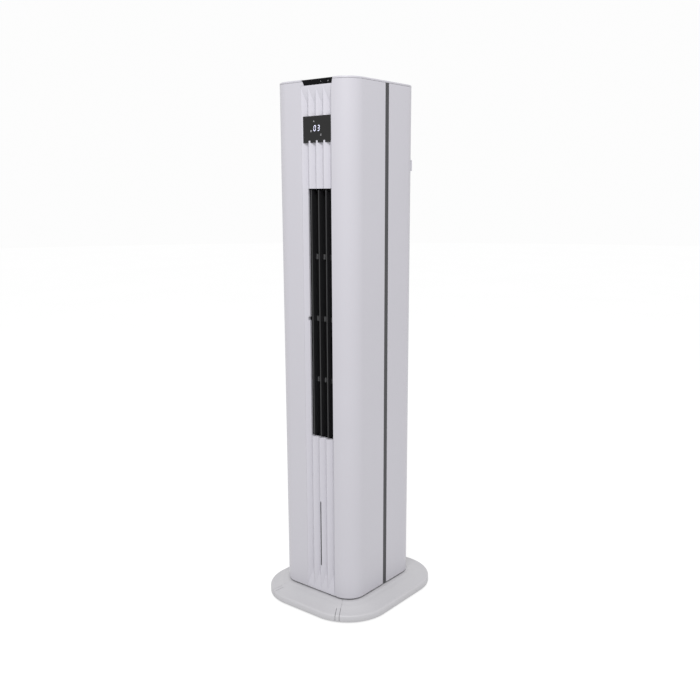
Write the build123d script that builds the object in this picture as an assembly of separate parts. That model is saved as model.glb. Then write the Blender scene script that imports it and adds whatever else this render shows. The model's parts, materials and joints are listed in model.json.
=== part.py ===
"""Tower ceramic space heater with an evaporative cooling stage.

A tall white shell stands on a weighted base.  A vertical tangential blower pulls air
through a rear grille, a filter and a wet pad, and pushes it through a ceramic (PTC)
heater and three swinging vanes to a tall outlet.  Millimetres, +Z up, front towards -Y,
origin in the middle of the base on the floor.  One STEP file per physical piece.
"""
import os
from math import atan2, cos, degrees, radians, sin

from build123d import *

# ---- overall sizes -------------------------------------------------------------
HEIGHT = 1100.0
BODY_WIDTH = 202.0
BODY_FRONT = -121.5
BODY_BACK = 105.5
BODY_CORNER = 40.0
BODY_BOTTOM = 35.0
WALL = 2.8
SEAM = 0.3                      # gap between neighbouring mouldings
TOP_COVER = 4.0                 # thickness of the top cover
SHELL_TOP = HEIGHT - TOP_COVER
COVER_ROLL = 2.0                # radius of the cover's upper edge
FAR = 200.0                     # reach of a cutting block, past any side
TALL = 1200.0                   # height of a cutting block, past the top
OVER = 1.0                      # how far a cutter runs past the face that it opens

# ---- base -----------------------------------------------------------------------
BASE_WIDTH = 297.0
BASE_DEPTH = 338.0
BASE_CORNER = 99.0
BASE_BOTTOM = 3.0
BASE_RIM = 18.0                 # height of the rim's upper edge
BASE_SHOULDER = 27.0            # height where the slope meets the shoulder
BASE_TOP = 31.5
NECK_TOP = 38.0
NECK_INSET = 13.0
SLOPE_INSET = 3.0
SHOULDER_SPREAD = 16.0          # how far the shoulder stands out from the tower
CROWN_SPREAD = 4.0
RIM_ROLL = 4.0
BASE_WALL = 3.5
BASE_ROOF = 4.0
PLATE_INSET = 4.0
PLATE_TOP = 6.0
BALLAST = (170.0, 210.0, 7.0)
FOOT_RADIUS = 14.0
FOOT_ROLL = 1.0
FOOT_SPOTS = [(x, y) for x in (-88, 88) for y in (-112, 112)]
BASE_SCREW_SPOTS = [(x, y) for x in (-62, 62) for y in (-82, 66)]
BASE_SCREW_RADII = (5.0, 2.3)   # head, shank
BASE_SCREW_HOLES = (5.5, 2.4)   # counterbore, pilot hole
SCREW_BOSS = 7.0
SCREW_TIP = 40.0
SEAM_FOOT = (70.0, -112.0)      # the front segment's mitred seam, at the tower
SEAM_RIM = (106.0, -175.0)      # and past the rim
CLIP_WIDTH = 9.0                # the springy clip between two slits at each seam
SLIT_WIDTH = 0.9
SLIT_LENGTH = 42.0

# ---- dark side strips -------------------------------------------------------------
TRIM_Y = (-10.0, 2.0)
TRIM_INSET = (3.0, 0.8)         # inner and outer face, from the tower's side
TRIM_GAP = 0.2

# ---- front strip with its V grooves --------------------------------------------
STRIP_LEFT = -22.0
STRIP_RIGHT = 54.0
STRIP_DEPTH = 12.0
GROOVES = 4
GROOVE_DEPTH = 7.5
GROOVE_PITCH = (STRIP_RIGHT - STRIP_LEFT) / GROOVES
GROOVE_TOP = (1054.0, 1084.0)   # full depth below the first, no depth at the second
GROOVE_FOOT = (78.0, 42.0)
STRIP_TOP = 1088.0
BRIDGE_Z = [(46, 86), (256, 332), (908, 972), (1036, 1064)]
BRIDGE_REACH = 8.0
BRIDGE_ARM = 4.0

# ---- control panel on top --------------------------------------------------------
PANEL_LEFT = -20.5
PANEL_RIGHT = 57.7
PANEL_FOOT = (-14.6, 55.8)      # the lip's lower corners
PANEL_BACK = -12.0
PANEL_TOP = HEIGHT - 0.6
PANEL_BASE = 1093.0
PANEL_LIP = 1088.3
PANEL_RECESS = 1.4              # how far the panel stands behind the front face
PANEL_LIP_DEPTH = 2.6
PANEL_ROLL = 2.5                # radius where the plate turns down
BUTTON_RADIUS = 6.4
BUTTON_FLANGE = 7.6
BUTTON_TRAVEL = 0.8
BUTTON_ROLL = 0.8
BUTTON_PLAY = 0.35
FLANGE_Z = (PANEL_BASE - 3.0, PANEL_BASE - 0.6)
KEY_BOARD = (-17.0, 50.0, -105.0, -20.0, 1078.0, 1079.6)
KEY_SWITCH = 3.0                # half the width of the switch under each key
BUTTON_NAMES = ("power", "mode", "speed", "swing", "timer", "cool")
BUTTON_SPOTS = [(x, y) for y in (-95, -66, -37) for x in (4, 33)]

# ---- display and water level window ----------------------------------------------
DISPLAY = (-19.4, 53.3, 985.0, 1031.2)      # left, right, bottom, top
DISPLAY_RECESS = 2.0
DISPLAY_SKIRT = 4.0             # how far the window runs down behind the ridges
DISPLAY_GLASS = 2.0
DISPLAY_EDGE = 3.0              # how much of the window its pocket's edge holds
LED_BLOCK = (4.0, 32.0, 996.0, 1019.0)      # left, right, bottom, top
BOARD_THICKNESS = 1.6
LEVEL_X = 16.0
LEVEL_WIDTH = 3.0
LEVEL_Z = (95.0, 241.5)
LEVEL_FLANGE = 5.0              # how far the flange reaches round the slit

# ---- outlet and vanes -------------------------------------------------------------
OUTLET = (-12.5, 53.2, 383.0, 893.5)        # left, right, bottom, top
JAMB_DEPTH = 2.0                # how far the outlet's right jamb reaches into its wing
DUCT = (-14.5, 55.0, 372.0, 897.0)          # inside of the outlet frame
DUCT_WALL = 3.0
DUCT_SILL = 4.0                 # thickness of the duct's floor and ceiling
DUCT_BACK = -76.0
VANE_X = [STRIP_LEFT + GROOVE_PITCH * n for n in (1, 2, 3)]
VANE_NAMES = ("vane_left", "vane_middle", "vane_right")
VANE_FRONT = -116.8
VANE_CHORD = 36.0
VANE_THICKNESS = 3.0
VANE_AXIS = -100.0
VANE_Z = (386.0, 890.5)
PIN_RADIUS = 1.3
PIN_FIT = 0.05
BAR_Z = (759.0, 632.5, 504.5)
BAR_HEIGHT = 10.0
BAR_Y = (-102.5, -94.0)
BAR_BOSS = 4.2                  # radius of the rounded boss that holds each pin
BAR_CLIP = 2.0                  # width of the slot that lets a pin snap in
BAR_NOTCH = (3.0, 7.5)          # width and height of the notch at the middle bar's end
NOTCH_AHEAD = 5.0               # where a blade's notch starts, ahead of its axis
NOTCH_PLAY = 1.2
LINK_Y = -84.0
LINK_Z = (375.5, 379.5)
LINK_HALF = 3.2
SWING_MOTOR = (9.0, 344.0, 365.0)           # radius, bottom, top

# ---- heater -----------------------------------------------------------------------
HEATER_Y = (-75.5, -52.0)
ELEMENT_X = (9.0, 31.5)
ELEMENT_THICKNESS = 2.4
FIN_PITCH = 7.0
FIN_SHIFT = 1.8                 # sideways shift that makes the folded strip 0.6 thick
FIN_ZIGS = 70
FIN_DEPTH = 18.0
FIN_GAP = 0.2
HEATER_SILL = 8.0
CUTOUT = (20.0, 894.0)          # place of the thermal cut-out behind the top sill
CUTOUT_RADIUS = 5.5
CUTOUT_DEPTH = 5.0
CUTOUT_PLATE = (8.0, 3.0)       # half width and half height of its fixing plate

# ---- blower -----------------------------------------------------------------------
WHEEL_RADIUS = 40.0
WHEEL_Z = (385.0, 885.0)
WHEEL_BLADES = 28
WHEEL_DISCS = 5
DISC_THICKNESS = 3.0
SHAFT_RADIUS = 4.0
MOTOR_RADIUS = 34.0
MOTOR_Z = (272.0, 342.0)
MOTOR_MOUNT_RING = 26.0
MOTOR_COLLAR = 9.0
MOTOR_MOUNT_TURNS = (90, 210, 330)
MOTOR_COLLAR_HEIGHT = 6.0
DISC_OPENING = 30.0
BLADE_ARC = (36.0, 9.0, 9.4, 8.4)           # centre, outer and inner radius of a blade's curve
BLADE_SPAN = (35.6, 0.8, 7.6, 4.4)          # middle and size of the part that is kept
BEARING_RADIUS = 11.0
SCROLL_THICKNESS = 2.2
SCROLL_START = (36.0, 30.0)
SCROLL_MIDDLE = (50.0, 2.0)
SCROLL_END_Y = -50.0
SCROLL_START_SHIFT = 1.54       # sideways step that gives the wall's slanted end its thickness
TONGUE = ((-14, -50), (-17, -50), (-58, -30), (-58, -27.5), (-27, -35), (-25.5, -36.5))

# ---- decks, tank, pad and rear grille -----------------------------------------------
FLOOR_Z = (NECK_TOP, 42.0)
TANK_DECK_Z = (264.0, 268.0)
BLOWER_DECK_Z = (358.0, 364.0)
UPPER_DECK_Z = (905.0, 911.0)
DECK_FRONT = -72.0
DECK_GAP = 0.4
RUNNER_X = (70.0, 76.0)         # the two rails that the tank slides on
REAR_SPLIT = 85.5               # everything behind this is the grille or the tank's face
TANK_Z = (50.0, 250.0)
TANK_HALF = 84.0
TANK_FRONT = -92.0
TANK_WALL = 2.5
TANK_FACE_Z = (48.0, 262.5)
TANK_TAIL = 60.0                # half the width of the part that reaches the face
PULL = (40.0, 9.0, 222.0, 228.0)            # half width, depth, bottom, top
BAY_GAP = 0.5                   # play round the tank's face and the grille
INLET_Z = 278.0                 # height of the cord inlet and the lower shell screws
GRILLE_Z = (292.0, 1004.0)
INLET_RADII = (7.8, 11.0, 3.8)  # sleeve, flange, bore
SHELL_SCREWS = [(x, z) for x in (-50, 50) for z in (INLET_Z, 1080.0)]
SHELL_SCREW_RADII = (3.5, 1.6)  # head, shank
HANDLE = (45.0, 1020.0, 1060.0) # half width, bottom, top
HANDLE_DEPTH = 77.0
CUP_WALL = 3.0
TAB_Z = (930.0, 952.0)          # finger tabs on the grille's corners
TAB_TURN = 46.0
TAB_PROUD = 3.0
TAB_WIDTH = 12.0
LOUVRE_HALF = 58.0
LOUVRE_Z = (310.0, 980.0)
LOUVRE_PITCH = 10.0
LOUVRE_TILT = 35.0
LOUVRE_BLADE = (7.5, 1.8)
GRILLE_LEDGE = (96.0, 6.0)      # front of the ledge, and its reach round the louvres
RIB_X = (-29.0, 0.0, 29.0)
RIB_HALF = 1.5
PAD_Z = (374.0, 889.0)
PAD_Y = (60.0, 80.0)
PAD_HALF = 80.0
PAD_FRAME_SIDE = 5.0
PAD_FRAME_WALL = 2.0
TRAY_DRIP_PITCH = 15
TRAY_DRIP_RADIUS = 1.5
PUMP = (-58.0, -66.0)
PUMP_SIZE = (18.0, 16.0, 34.0)  # half width, half depth, height
PUMP_CHAMBER = 11.0
PUMP_FLOOR = 3.0                # bottom of the pump's chamber, above the tank's floor
PUMP_ROOF = 16.0
PUMP_INTAKE = (6.0, 12.0)       # half width and top of the side intake
IMPELLER_PLATE = (4.0, 6.0)
IMPELLER_HUB = (2.5, 14.0)      # radius, top
IMPELLER_VANE = (18.0, 1.2, 6.0)
IMPELLER_VANE_Z = 8.5
PIPE_SHIFT = 10.0
PIPE_RADIUS = 4.0
SPIGOT_RADIUS = 3.4
SPIGOT_Z = 257.0
RISER_Y = -104.0
RISER_TOP = 925.0
HOSE_END_Y = 70.0
HOSE_RADII = (5.4, 3.9)
HOSE_BEND = 8.0
POWER_BOARD = (-50.0, 30.0, 30.0, 31.6, 928.0, 1040.0)
RELAY = (-40.0, -10.0, 940.0, 975.0, 20.0)          # left, right, bottom, top, height
TRANSFORMER = (-44.0, -20.0, 1000.0, 1030.0, 14.0)
CAPACITOR = (10.0, 1010.0, 8.0, 18.0)               # x, z, radius, height
TILT_SWITCH = (76.0, 90.0, -50.0, -34.0)
TILT_HEIGHT = 15.0
FILTER_REACH = 4.0
FILTER_THICKNESS = 2.0


# ---- helpers ------------------------------------------------------------------------
def block(x0, x1, y0, y1, z0, z1):
    """A box between two corners."""
    middle = Pos((x0 + x1) / 2, (y0 + y1) / 2, (z0 + z1) / 2)
    return middle * Box(x1 - x0, y1 - y0, z1 - z0)


def rod(x, y, z0, z1, radius):
    """An upright cylinder."""
    return Pos(x, y, (z0 + z1) / 2) * Cylinder(radius, z1 - z0)


def rod_along_y(x, z, y0, y1, radius):
    """A cylinder that lies front to back."""
    return Pos(x, (y0 + y1) / 2, z) * Rot(90, 0, 0) * Cylinder(radius, y1 - y0)


def prism(face, z0, z1):
    """A flat outline raised from one height to another."""
    return Pos(0, 0, z0) * extrude(face, amount=z1 - z0, dir=(0, 0, 1))


def body_outline(inset=0.0):
    """The tower's plan, smaller all round by the inset."""
    width = BODY_WIDTH - 2 * inset
    depth = BODY_BACK - BODY_FRONT - 2 * inset
    outline = RectangleRounded(width, depth, BODY_CORNER - inset)
    return Pos(0, (BODY_FRONT + BODY_BACK) / 2) * outline


def base_outline(inset=0.0):
    """The base's plan, smaller all round by the inset."""
    size = (BASE_WIDTH - 2 * inset, BASE_DEPTH - 2 * inset)
    return RectangleRounded(*size, BASE_CORNER - inset)


def body_ring(z0, z1):
    """The tower's outer wall between two heights."""
    return prism(body_outline(), z0, z1) - prism(body_outline(WALL), z0 - 1, z1 + 1)


def group(solids):
    """Separate solids that share one node."""
    return Compound(children=list(solids))


def save(name, shape):
    shape.label = name
    export_step(shape, os.path.join("parts", name + ".step"))


# ---- base -----------------------------------------------------------------------------
def base_body():
    """The whole base cover before the front segment is parted from it."""
    rim = prism(base_outline(), BASE_BOTTOM, BASE_RIM)
    rim = fillet(rim.edges().group_by(Axis.Z)[-1], RIM_ROLL)
    slope_foot = Pos(0, 0, BASE_RIM - OVER / 2) * base_outline(SLOPE_INSET)
    shoulder = Pos(0, 0, BASE_SHOULDER) * body_outline(-SHOULDER_SPREAD)
    crown = Pos(0, 0, BASE_TOP) * body_outline(-CROWN_SPREAD)
    cover = rim + loft([slope_foot, shoulder], ruled=True) + loft([shoulder, crown], ruled=True)
    cover += prism(body_outline(NECK_INSET), BASE_SHOULDER, NECK_TOP)
    cover -= prism(base_outline(BASE_WALL), BASE_BOTTOM - OVER, BASE_RIM - BASE_ROOF)
    cover -= prism(body_outline(BASE_WALL), BASE_BOTTOM, BASE_SHOULDER - BASE_ROOF)
    for x, y in BASE_SCREW_SPOTS:
        cover += rod(x, y, PLATE_TOP + BALLAST[2], BASE_SHOULDER, SCREW_BOSS)
        cover -= rod(x, y, 0, NECK_TOP + OVER, BASE_SCREW_HOLES[1])
    return cover


def front_cut():
    """The plan of the front segment, between its two mitred seams."""
    (foot_x, foot_y), (rim_x, rim_y) = SEAM_FOOT, SEAM_RIM
    corners = [(-foot_x, foot_y), (foot_x, foot_y), (rim_x, rim_y), (-rim_x, rim_y)]
    return Polygon(*corners, align=None)


def rim_slits():
    """Two slits at each seam, which leave a springy clip between them."""
    turn = degrees(atan2(SEAM_RIM[1] - SEAM_FOOT[1], SEAM_RIM[0] - SEAM_FOOT[0]))
    slits = []
    for shift in (0, -CLIP_WIDTH):
        slit = Pos(-SLIT_LENGTH / 2, shift) * Rectangle(SLIT_LENGTH, SLIT_WIDTH)
        slit = prism(Pos(*SEAM_RIM) * Rot(0, 0, turn) * slit, 0, BASE_TOP)
        slits += [slit, mirror(slit, about=Plane.YZ)]
    return slits


def base_parts():
    cover = base_body() - rim_slits()
    save("base_front_segment", cover & prism(front_cut(), 0, BASE_TOP))
    wider = offset(front_cut(), SEAM, kind=Kind.INTERSECTION)
    save("base_cover", cover - prism(wider, 0, BASE_TOP))
    plate = prism(base_outline(PLATE_INSET), BASE_BOTTOM, PLATE_TOP)
    ballast = Pos(0, 0, PLATE_TOP + BALLAST[2] / 2) * Box(*BALLAST)
    head, shank = BASE_SCREW_RADII
    screws = []
    for x, y in BASE_SCREW_SPOTS:
        plate -= rod(x, y, 0, PLATE_TOP + OVER, BASE_SCREW_HOLES[0])
        ballast -= rod(x, y, 0, NECK_TOP, BASE_SCREW_HOLES[0])
        screw = rod(x, y, BASE_BOTTOM + OVER, PLATE_TOP, head)
        screws.append(screw + rod(x, y, BASE_BOTTOM + OVER, SCREW_TIP, shank))
    save("base_plate", plate)
    save("ballast_plate", ballast)
    save("base_screws", group(screws))
    feet = []
    for x, y in FOOT_SPOTS:
        pad = rod(x, y, 0, BASE_BOTTOM, FOOT_RADIUS)
        feet.append(fillet(pad.edges().group_by(Axis.Z)[0], FOOT_ROLL))
    save("rubber_feet", group(feet))


# ---- outer shells ------------------------------------------------------------------------
def front_shell():
    """The front half of the tower, open behind and slotted for the grooved strip."""
    shell = body_ring(BODY_BOTTOM, SHELL_TOP - SEAM)
    shell &= block(-FAR, FAR, -FAR, TRIM_Y[0] - TRIM_GAP, 0, HEIGHT)
    behind_strip = BODY_FRONT + STRIP_DEPTH + SEAM
    slot = block(STRIP_LEFT - SEAM, STRIP_RIGHT + SEAM, -FAR, behind_strip, 0, STRIP_TOP + SEAM)
    lip = Polygon(
        (PANEL_FOOT[0] - SEAM, PANEL_LIP - SEAM),
        (PANEL_FOOT[1] + SEAM, PANEL_LIP - SEAM),
        (PANEL_RIGHT + SEAM, HEIGHT),
        (PANEL_LEFT - SEAM, HEIGHT),
        align=None,
    )
    lip = Pos(0, behind_strip, 0) * extrude(Plane.XZ * lip, amount=FAR, dir=(0, -1, 0))
    shell = shell - slot - lip
    shell += block(
        OUTLET[1], STRIP_RIGHT + SEAM + JAMB_DEPTH, BODY_FRONT, behind_strip - 2 * SEAM,
        OUTLET[2] + SEAM, OUTLET[3] - SEAM,
    )
    for bottom, top in BRIDGE_Z:
        shell += bridge(bottom, top)
    return shell


def bridge(bottom, top):
    """A cross piece behind the grooved strip that ties the two wings together."""
    back = BODY_FRONT + STRIP_DEPTH + SEAM
    left, right = STRIP_LEFT - BRIDGE_REACH, STRIP_RIGHT + BRIDGE_REACH
    span = block(left, right, back, back + WALL, bottom, top)
    span += block(left, left + BRIDGE_ARM, BODY_FRONT + OVER, back + WALL, bottom, top)
    return span + block(right - BRIDGE_ARM, right, BODY_FRONT + OVER, back + WALL, bottom, top)


def rear_shell():
    """The rear half, with bays for the tank's face and for the grille."""
    shell = body_ring(BODY_BOTTOM, SHELL_TOP - SEAM)
    shell &= block(-FAR, FAR, TRIM_Y[1] + TRIM_GAP, FAR, 0, HEIGHT)
    for bottom, top in (GRILLE_Z, TANK_FACE_Z):
        shell -= block(-FAR, FAR, REAR_SPLIT, FAR, bottom - BAY_GAP, top + BAY_GAP)
    half, bottom, top = HANDLE
    shell -= block(-half, half, REAR_SPLIT, FAR, bottom, top)
    shell -= rod_along_y(0, INLET_Z, REAR_SPLIT, FAR, INLET_RADII[0] + TRIM_GAP)
    for x, z in SHELL_SCREWS:
        shell -= rod_along_y(x, z, REAR_SPLIT, FAR, SHELL_SCREW_RADII[0] + TRIM_GAP / 2)
    return shell


def side_trim(side):
    """The dark strip that covers the seam between the two shells."""
    left, right = sorted(side * (BODY_WIDTH / 2 - inset) for inset in TRIM_INSET)
    return block(left, right, *TRIM_Y, BODY_BOTTOM, SHELL_TOP - SEAM)


def top_cover():
    cover = prism(body_outline(), SHELL_TOP, HEIGHT)
    cover = fillet(cover.edges().group_by(Axis.Z)[-1], COVER_ROLL)
    return cover - block(PANEL_LEFT - SEAM, PANEL_RIGHT + SEAM, -FAR, PANEL_BACK + SEAM, 0, TALL)


def shell_parts():
    save("front_shell", front_shell())
    save("rear_shell", rear_shell())
    save("side_trim_left", side_trim(-1))
    save("side_trim_right", side_trim(1))
    save("top_cover", top_cover())
    half, bottom, top = HANDLE
    wall, inside = CUP_WALL, BODY_BACK - WALL - TRIM_GAP / 2
    cup = block(-half - wall, half + wall, HANDLE_DEPTH - wall, inside, bottom - wall, top + wall)
    save("handle_cup", cup - block(-half, half, HANDLE_DEPTH, FAR, bottom, top))
    head, shank = SHELL_SCREW_RADII
    screws = []
    for x, z in SHELL_SCREWS:
        screw = rod_along_y(x, z, inside, BODY_BACK - SEAM, head)
        screws.append(screw + rod_along_y(x, z, REAR_SPLIT, inside, shank))
    save("shell_screws", group(screws))
    sleeve, flange, bore = INLET_RADII
    inlet_front = inside - wall - OVER
    inlet = rod_along_y(0, INLET_Z, inlet_front, BODY_BACK + 2 * wall, sleeve)
    inlet += rod_along_y(0, INLET_Z, inlet_front, inside, flange)
    save("cord_inlet", inlet - rod_along_y(0, INLET_Z, 0, FAR, bore))


# ---- grooved strip, display and level window ---------------------------------------------
def groove(index):
    """One V groove whose two ends slope out to the front plane."""
    middle = STRIP_LEFT + GROOVE_PITCH * (index + 0.5)
    front = BODY_FRONT
    section = Polygon(
        (middle - GROOVE_PITCH / 2, front),
        (middle + GROOVE_PITCH / 2, front),
        (middle, front + GROOVE_DEPTH),
        align=None,
    )
    ends = Polygon(
        (front, GROOVE_FOOT[1]),
        (front + GROOVE_DEPTH, GROOVE_FOOT[0]),
        (front + GROOVE_DEPTH, GROOVE_TOP[0]),
        (front, GROOVE_TOP[1]),
        align=None,
    )
    slopes = Pos(-FAR, 0, 0) * extrude(Plane.YZ * ends, amount=2 * FAR, dir=(1, 0, 0))
    return prism(section, BODY_BOTTOM, STRIP_TOP) & slopes


def fascia():
    """The strip between the wings, cut for the outlet, the display and the level window."""
    back = BODY_FRONT + STRIP_DEPTH
    strip = block(STRIP_LEFT, STRIP_RIGHT, BODY_FRONT, back, BODY_BOTTOM, STRIP_TOP)
    for index in range(GROOVES):
        strip -= groove(index)
    ahead, behind = BODY_FRONT - OVER, back + OVER
    left, _, bottom, top = OUTLET
    strip -= block(left, FAR, ahead, behind, bottom, top)
    reach, height = BAR_NOTCH
    strip -= block(left - reach, FAR, ahead, behind, BAR_Z[1] - height / 2, BAR_Z[1] + height / 2)
    left, right, bottom, top = DISPLAY
    window_front = BODY_FRONT + DISPLAY_RECESS
    window_back = window_front + DISPLAY_GLASS
    edge = DISPLAY_EDGE
    strip -= block(left, right, ahead, window_front, bottom, top)
    strip -= block(left, right, window_front, window_back, bottom - DISPLAY_SKIRT, top)
    strip -= block(left + edge, right - edge, window_back, behind, bottom, top - edge)
    half = LEVEL_WIDTH / 2
    return strip - block(LEVEL_X - half, LEVEL_X + half, ahead, behind, *LEVEL_Z)


def front_parts():
    save("fascia", fascia())
    left, right, bottom, top = DISPLAY
    front = BODY_FRONT + DISPLAY_RECESS
    glass = block(left, right, front, front + DISPLAY_GLASS, bottom - DISPLAY_SKIRT, top)
    save("display_window", glass)
    edge = 2 * DISPLAY_EDGE
    glass_back = front + DISPLAY_GLASS
    board_front = glass_back + DISPLAY_GLASS
    board_back = board_front + BOARD_THICKNESS
    board = block(left + edge, right - edge, board_front, board_back, bottom + edge, top - edge)
    led_left, led_right, led_bottom, led_top = LED_BLOCK
    board += block(led_left, led_right, glass_back, board_front, led_bottom, led_top)
    save("display_board", board)
    half = LEVEL_WIDTH / 2
    reach = LEVEL_FLANGE
    back = BODY_FRONT + STRIP_DEPTH
    pane = block(LEVEL_X - half, LEVEL_X + half, BODY_FRONT + 2 * OVER, back, *LEVEL_Z)
    flange = block(
        LEVEL_X - reach, LEVEL_X + reach, back, back + 2 * OVER,
        LEVEL_Z[0] - reach, LEVEL_Z[1] + reach,
    )
    save("level_window", pane + flange)


# ---- control panel and buttons --------------------------------------------------------------
def control_panel():
    """A glossy plate on top whose front edge turns down into the front face."""
    back_of_lip = BODY_FRONT + PANEL_RECESS + PANEL_LIP_DEPTH
    lip = Polygon(
        (PANEL_FOOT[0], PANEL_LIP), (PANEL_FOOT[1], PANEL_LIP),
        (PANEL_RIGHT, PANEL_TOP), (PANEL_LEFT, PANEL_TOP),
        align=None,
    )
    lip = extrude(Plane.XZ * lip, amount=PANEL_LIP_DEPTH, dir=(0, -1, 0))
    panel = Pos(0, back_of_lip, 0) * lip
    panel += block(PANEL_LEFT, PANEL_RIGHT, back_of_lip, PANEL_BACK, PANEL_BASE, PANEL_TOP)
    edge = panel.edges().filter_by(Axis.X).group_by(Axis.Z)[-1].sort_by(Axis.Y)[0]
    panel = fillet(edge, PANEL_ROLL)
    for x, y in BUTTON_SPOTS:
        panel -= rod(x, y, 0, TALL, BUTTON_RADIUS + BUTTON_PLAY)
    return panel


def panel_parts():
    save("control_panel", control_panel())
    for name, (x, y) in zip(BUTTON_NAMES, BUTTON_SPOTS):
        cap = rod(x, y, FLANGE_Z[0], HEIGHT, BUTTON_RADIUS)
        cap = fillet(cap.edges().group_by(Axis.Z)[-1], BUTTON_ROLL)
        save("button_" + name, cap + rod(x, y, *FLANGE_Z, BUTTON_FLANGE))
    board = block(*KEY_BOARD)
    half, top = KEY_SWITCH, FLANGE_Z[0] - BUTTON_TRAVEL - SEAM
    for x, y in BUTTON_SPOTS:
        board += block(x - half, x + half, y - half, y + half, KEY_BOARD[5], top)
    save("control_board", board)


# ---- outlet frame and vanes -------------------------------------------------------------------
def outlet_frame():
    left, right, bottom, top = DUCT
    front = BODY_FRONT + STRIP_DEPTH + SEAM
    wall, sill = DUCT_WALL, DUCT_SILL
    frame = block(left - wall, right + wall, front, DUCT_BACK, bottom - sill, top + sill)
    frame -= block(left, right, front - OVER, DUCT_BACK + OVER, bottom, top)
    for x in VANE_X:
        frame -= rod(x, VANE_AXIS, 0, TALL, PIN_RADIUS + PIN_FIT)
    return frame


def vane(x, pin_foot):
    """One blade, notched at each bar, with its pivot pin and its crank pin."""
    blade = Rot(0, 0, 90) * SlotOverall(VANE_CHORD, VANE_THICKNESS)
    shape = prism(Pos(x, VANE_FRONT + VANE_CHORD / 2) * blade, *VANE_Z)
    front, rear = VANE_AXIS - NOTCH_AHEAD, VANE_FRONT + VANE_CHORD + OVER
    side, clear = VANE_THICKNESS, BAR_HEIGHT / 2 + NOTCH_PLAY
    for z in BAR_Z:
        shape -= block(x - side, x + side, front, rear, z - clear, z + clear)
    shape += rod(x, VANE_AXIS, pin_foot, DUCT[3] + DUCT_SILL, PIN_RADIUS)
    return shape + rod(x, LINK_Y, LINK_Z[0] - OVER, VANE_Z[0] + 2 * OVER, PIN_RADIUS)


def vane_bar(z):
    """A cross bar whose rounded bosses hold each vane's pin in an open clip."""
    bottom, top = z - BAR_HEIGHT / 2, z + BAR_HEIGHT / 2
    bar = block(DUCT[0], DUCT[1], *BAR_Y, bottom, top)
    for x in VANE_X:
        bar += rod(x, VANE_AXIS, bottom, top, BAR_BOSS)
    for x in VANE_X:
        bar -= rod(x, VANE_AXIS, 0, TALL, PIN_RADIUS + PIN_FIT)
        bar -= block(x - BAR_CLIP / 2, x + BAR_CLIP / 2, -FAR, VANE_AXIS, 0, TALL)
    return bar


def vane_link():
    """The bar that ties the three crank pins together."""
    ends = (VANE_X[0], VANE_X[2])
    link = block(*ends, LINK_Y - LINK_HALF, LINK_Y + LINK_HALF, *LINK_Z)
    for x in ends:
        link += rod(x, LINK_Y, *LINK_Z, LINK_HALF)
    for x in VANE_X:
        link -= rod(x, LINK_Y, 0, TALL, PIN_RADIUS + PIN_FIT)
    return link


def vane_parts():
    save("outlet_frame", outlet_frame())
    duct_foot = DUCT[2] - DUCT_SILL
    radius, motor_bottom, motor_top = SWING_MOTOR
    coupling = motor_top - DUCT_SILL - DUCT_WALL
    feet = (duct_foot, coupling, duct_foot)
    for name, x, foot in zip(VANE_NAMES, VANE_X, feet):
        save(name, vane(x, foot))
    save("vane_bars", group([vane_bar(z) for z in BAR_Z]))
    save("vane_link", vane_link())
    x = VANE_X[1]
    motor = rod(x, VANE_AXIS, motor_bottom, motor_top, radius)
    ear, half = 2 * BRIDGE_REACH, DUCT_SILL
    motor += block(x - ear, x + ear, VANE_AXIS - half, VANE_AXIS + half, motor_top, duct_foot)
    save("swing_motor", motor - rod(x, VANE_AXIS, coupling - OVER, TALL, PIN_RADIUS + PIN_FIT))


# ---- heater ---------------------------------------------------------------------------------------
def heater_frame():
    left, right, bottom, top = DUCT
    wall, sill = DUCT_WALL, DUCT_SILL
    frame = block(left - wall, right + wall, *HEATER_Y, bottom - sill, top + sill)
    return frame - block(left, right, -FAR, FAR, bottom + HEATER_SILL, top - HEATER_SILL)


def fin_column(x0, x1):
    """One folded aluminium strip, from side to side and back for its whole height."""
    start = DUCT[2] + HEATER_SILL + DUCT_SILL
    near = []
    for zig in range(FIN_ZIGS + 1):
        near.append((x0 if zig % 2 == 0 else x1 - FIN_SHIFT, start + zig * FIN_PITCH))
    far = [(x + FIN_SHIFT, z) for x, z in reversed(near)]
    outline = Plane.XZ * Polygon(*near, *far, align=None)
    return Pos(0, HEATER_Y[1] - 2 * OVER, 0) * extrude(outline, amount=FIN_DEPTH, dir=(0, -1, 0))


def heater_parts():
    save("heater_frame", heater_frame())
    half = ELEMENT_THICKNESS / 2
    depth = (HEATER_Y[0] + 3 * OVER, HEATER_Y[1] - 2 * OVER)
    height = (DUCT[2] + HEATER_SILL, DUCT[3] - HEATER_SILL)
    elements = [block(x - half, x + half, *depth, *height) for x in ELEMENT_X]
    save("ceramic_elements", group(elements))
    edges = [DUCT[0], ELEMENT_X[0], ELEMENT_X[1], DUCT[1]]
    columns = []
    for x0, x1 in zip(edges[:-1], edges[1:]):
        left = x0 + (half if x0 in ELEMENT_X else 0) + FIN_GAP
        right = x1 - (half if x1 in ELEMENT_X else 0) - FIN_GAP
        columns.append(fin_column(left, right))
    save("heater_fins", group(columns))
    x, z = CUTOUT
    front = HEATER_Y[1]
    half_width, half_height = CUTOUT_PLATE
    cutout = rod_along_y(x, z, front, front + CUTOUT_DEPTH, CUTOUT_RADIUS)
    cutout += block(
        x - half_width, x + half_width, front, front + OVER, z - half_height, z + half_height
    )
    save("thermal_cutout", cutout)


# ---- blower ----------------------------------------------------------------------------------------
def wheel_blade():
    """One curved blade of the wheel, as a flat outline."""
    x, y, outer, inner = BLADE_ARC
    span_x, span_y, width, height = BLADE_SPAN
    return Pos(x, y) * (Circle(outer) - Circle(inner)) & Pos(span_x, span_y) * Rectangle(width, height)


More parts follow.
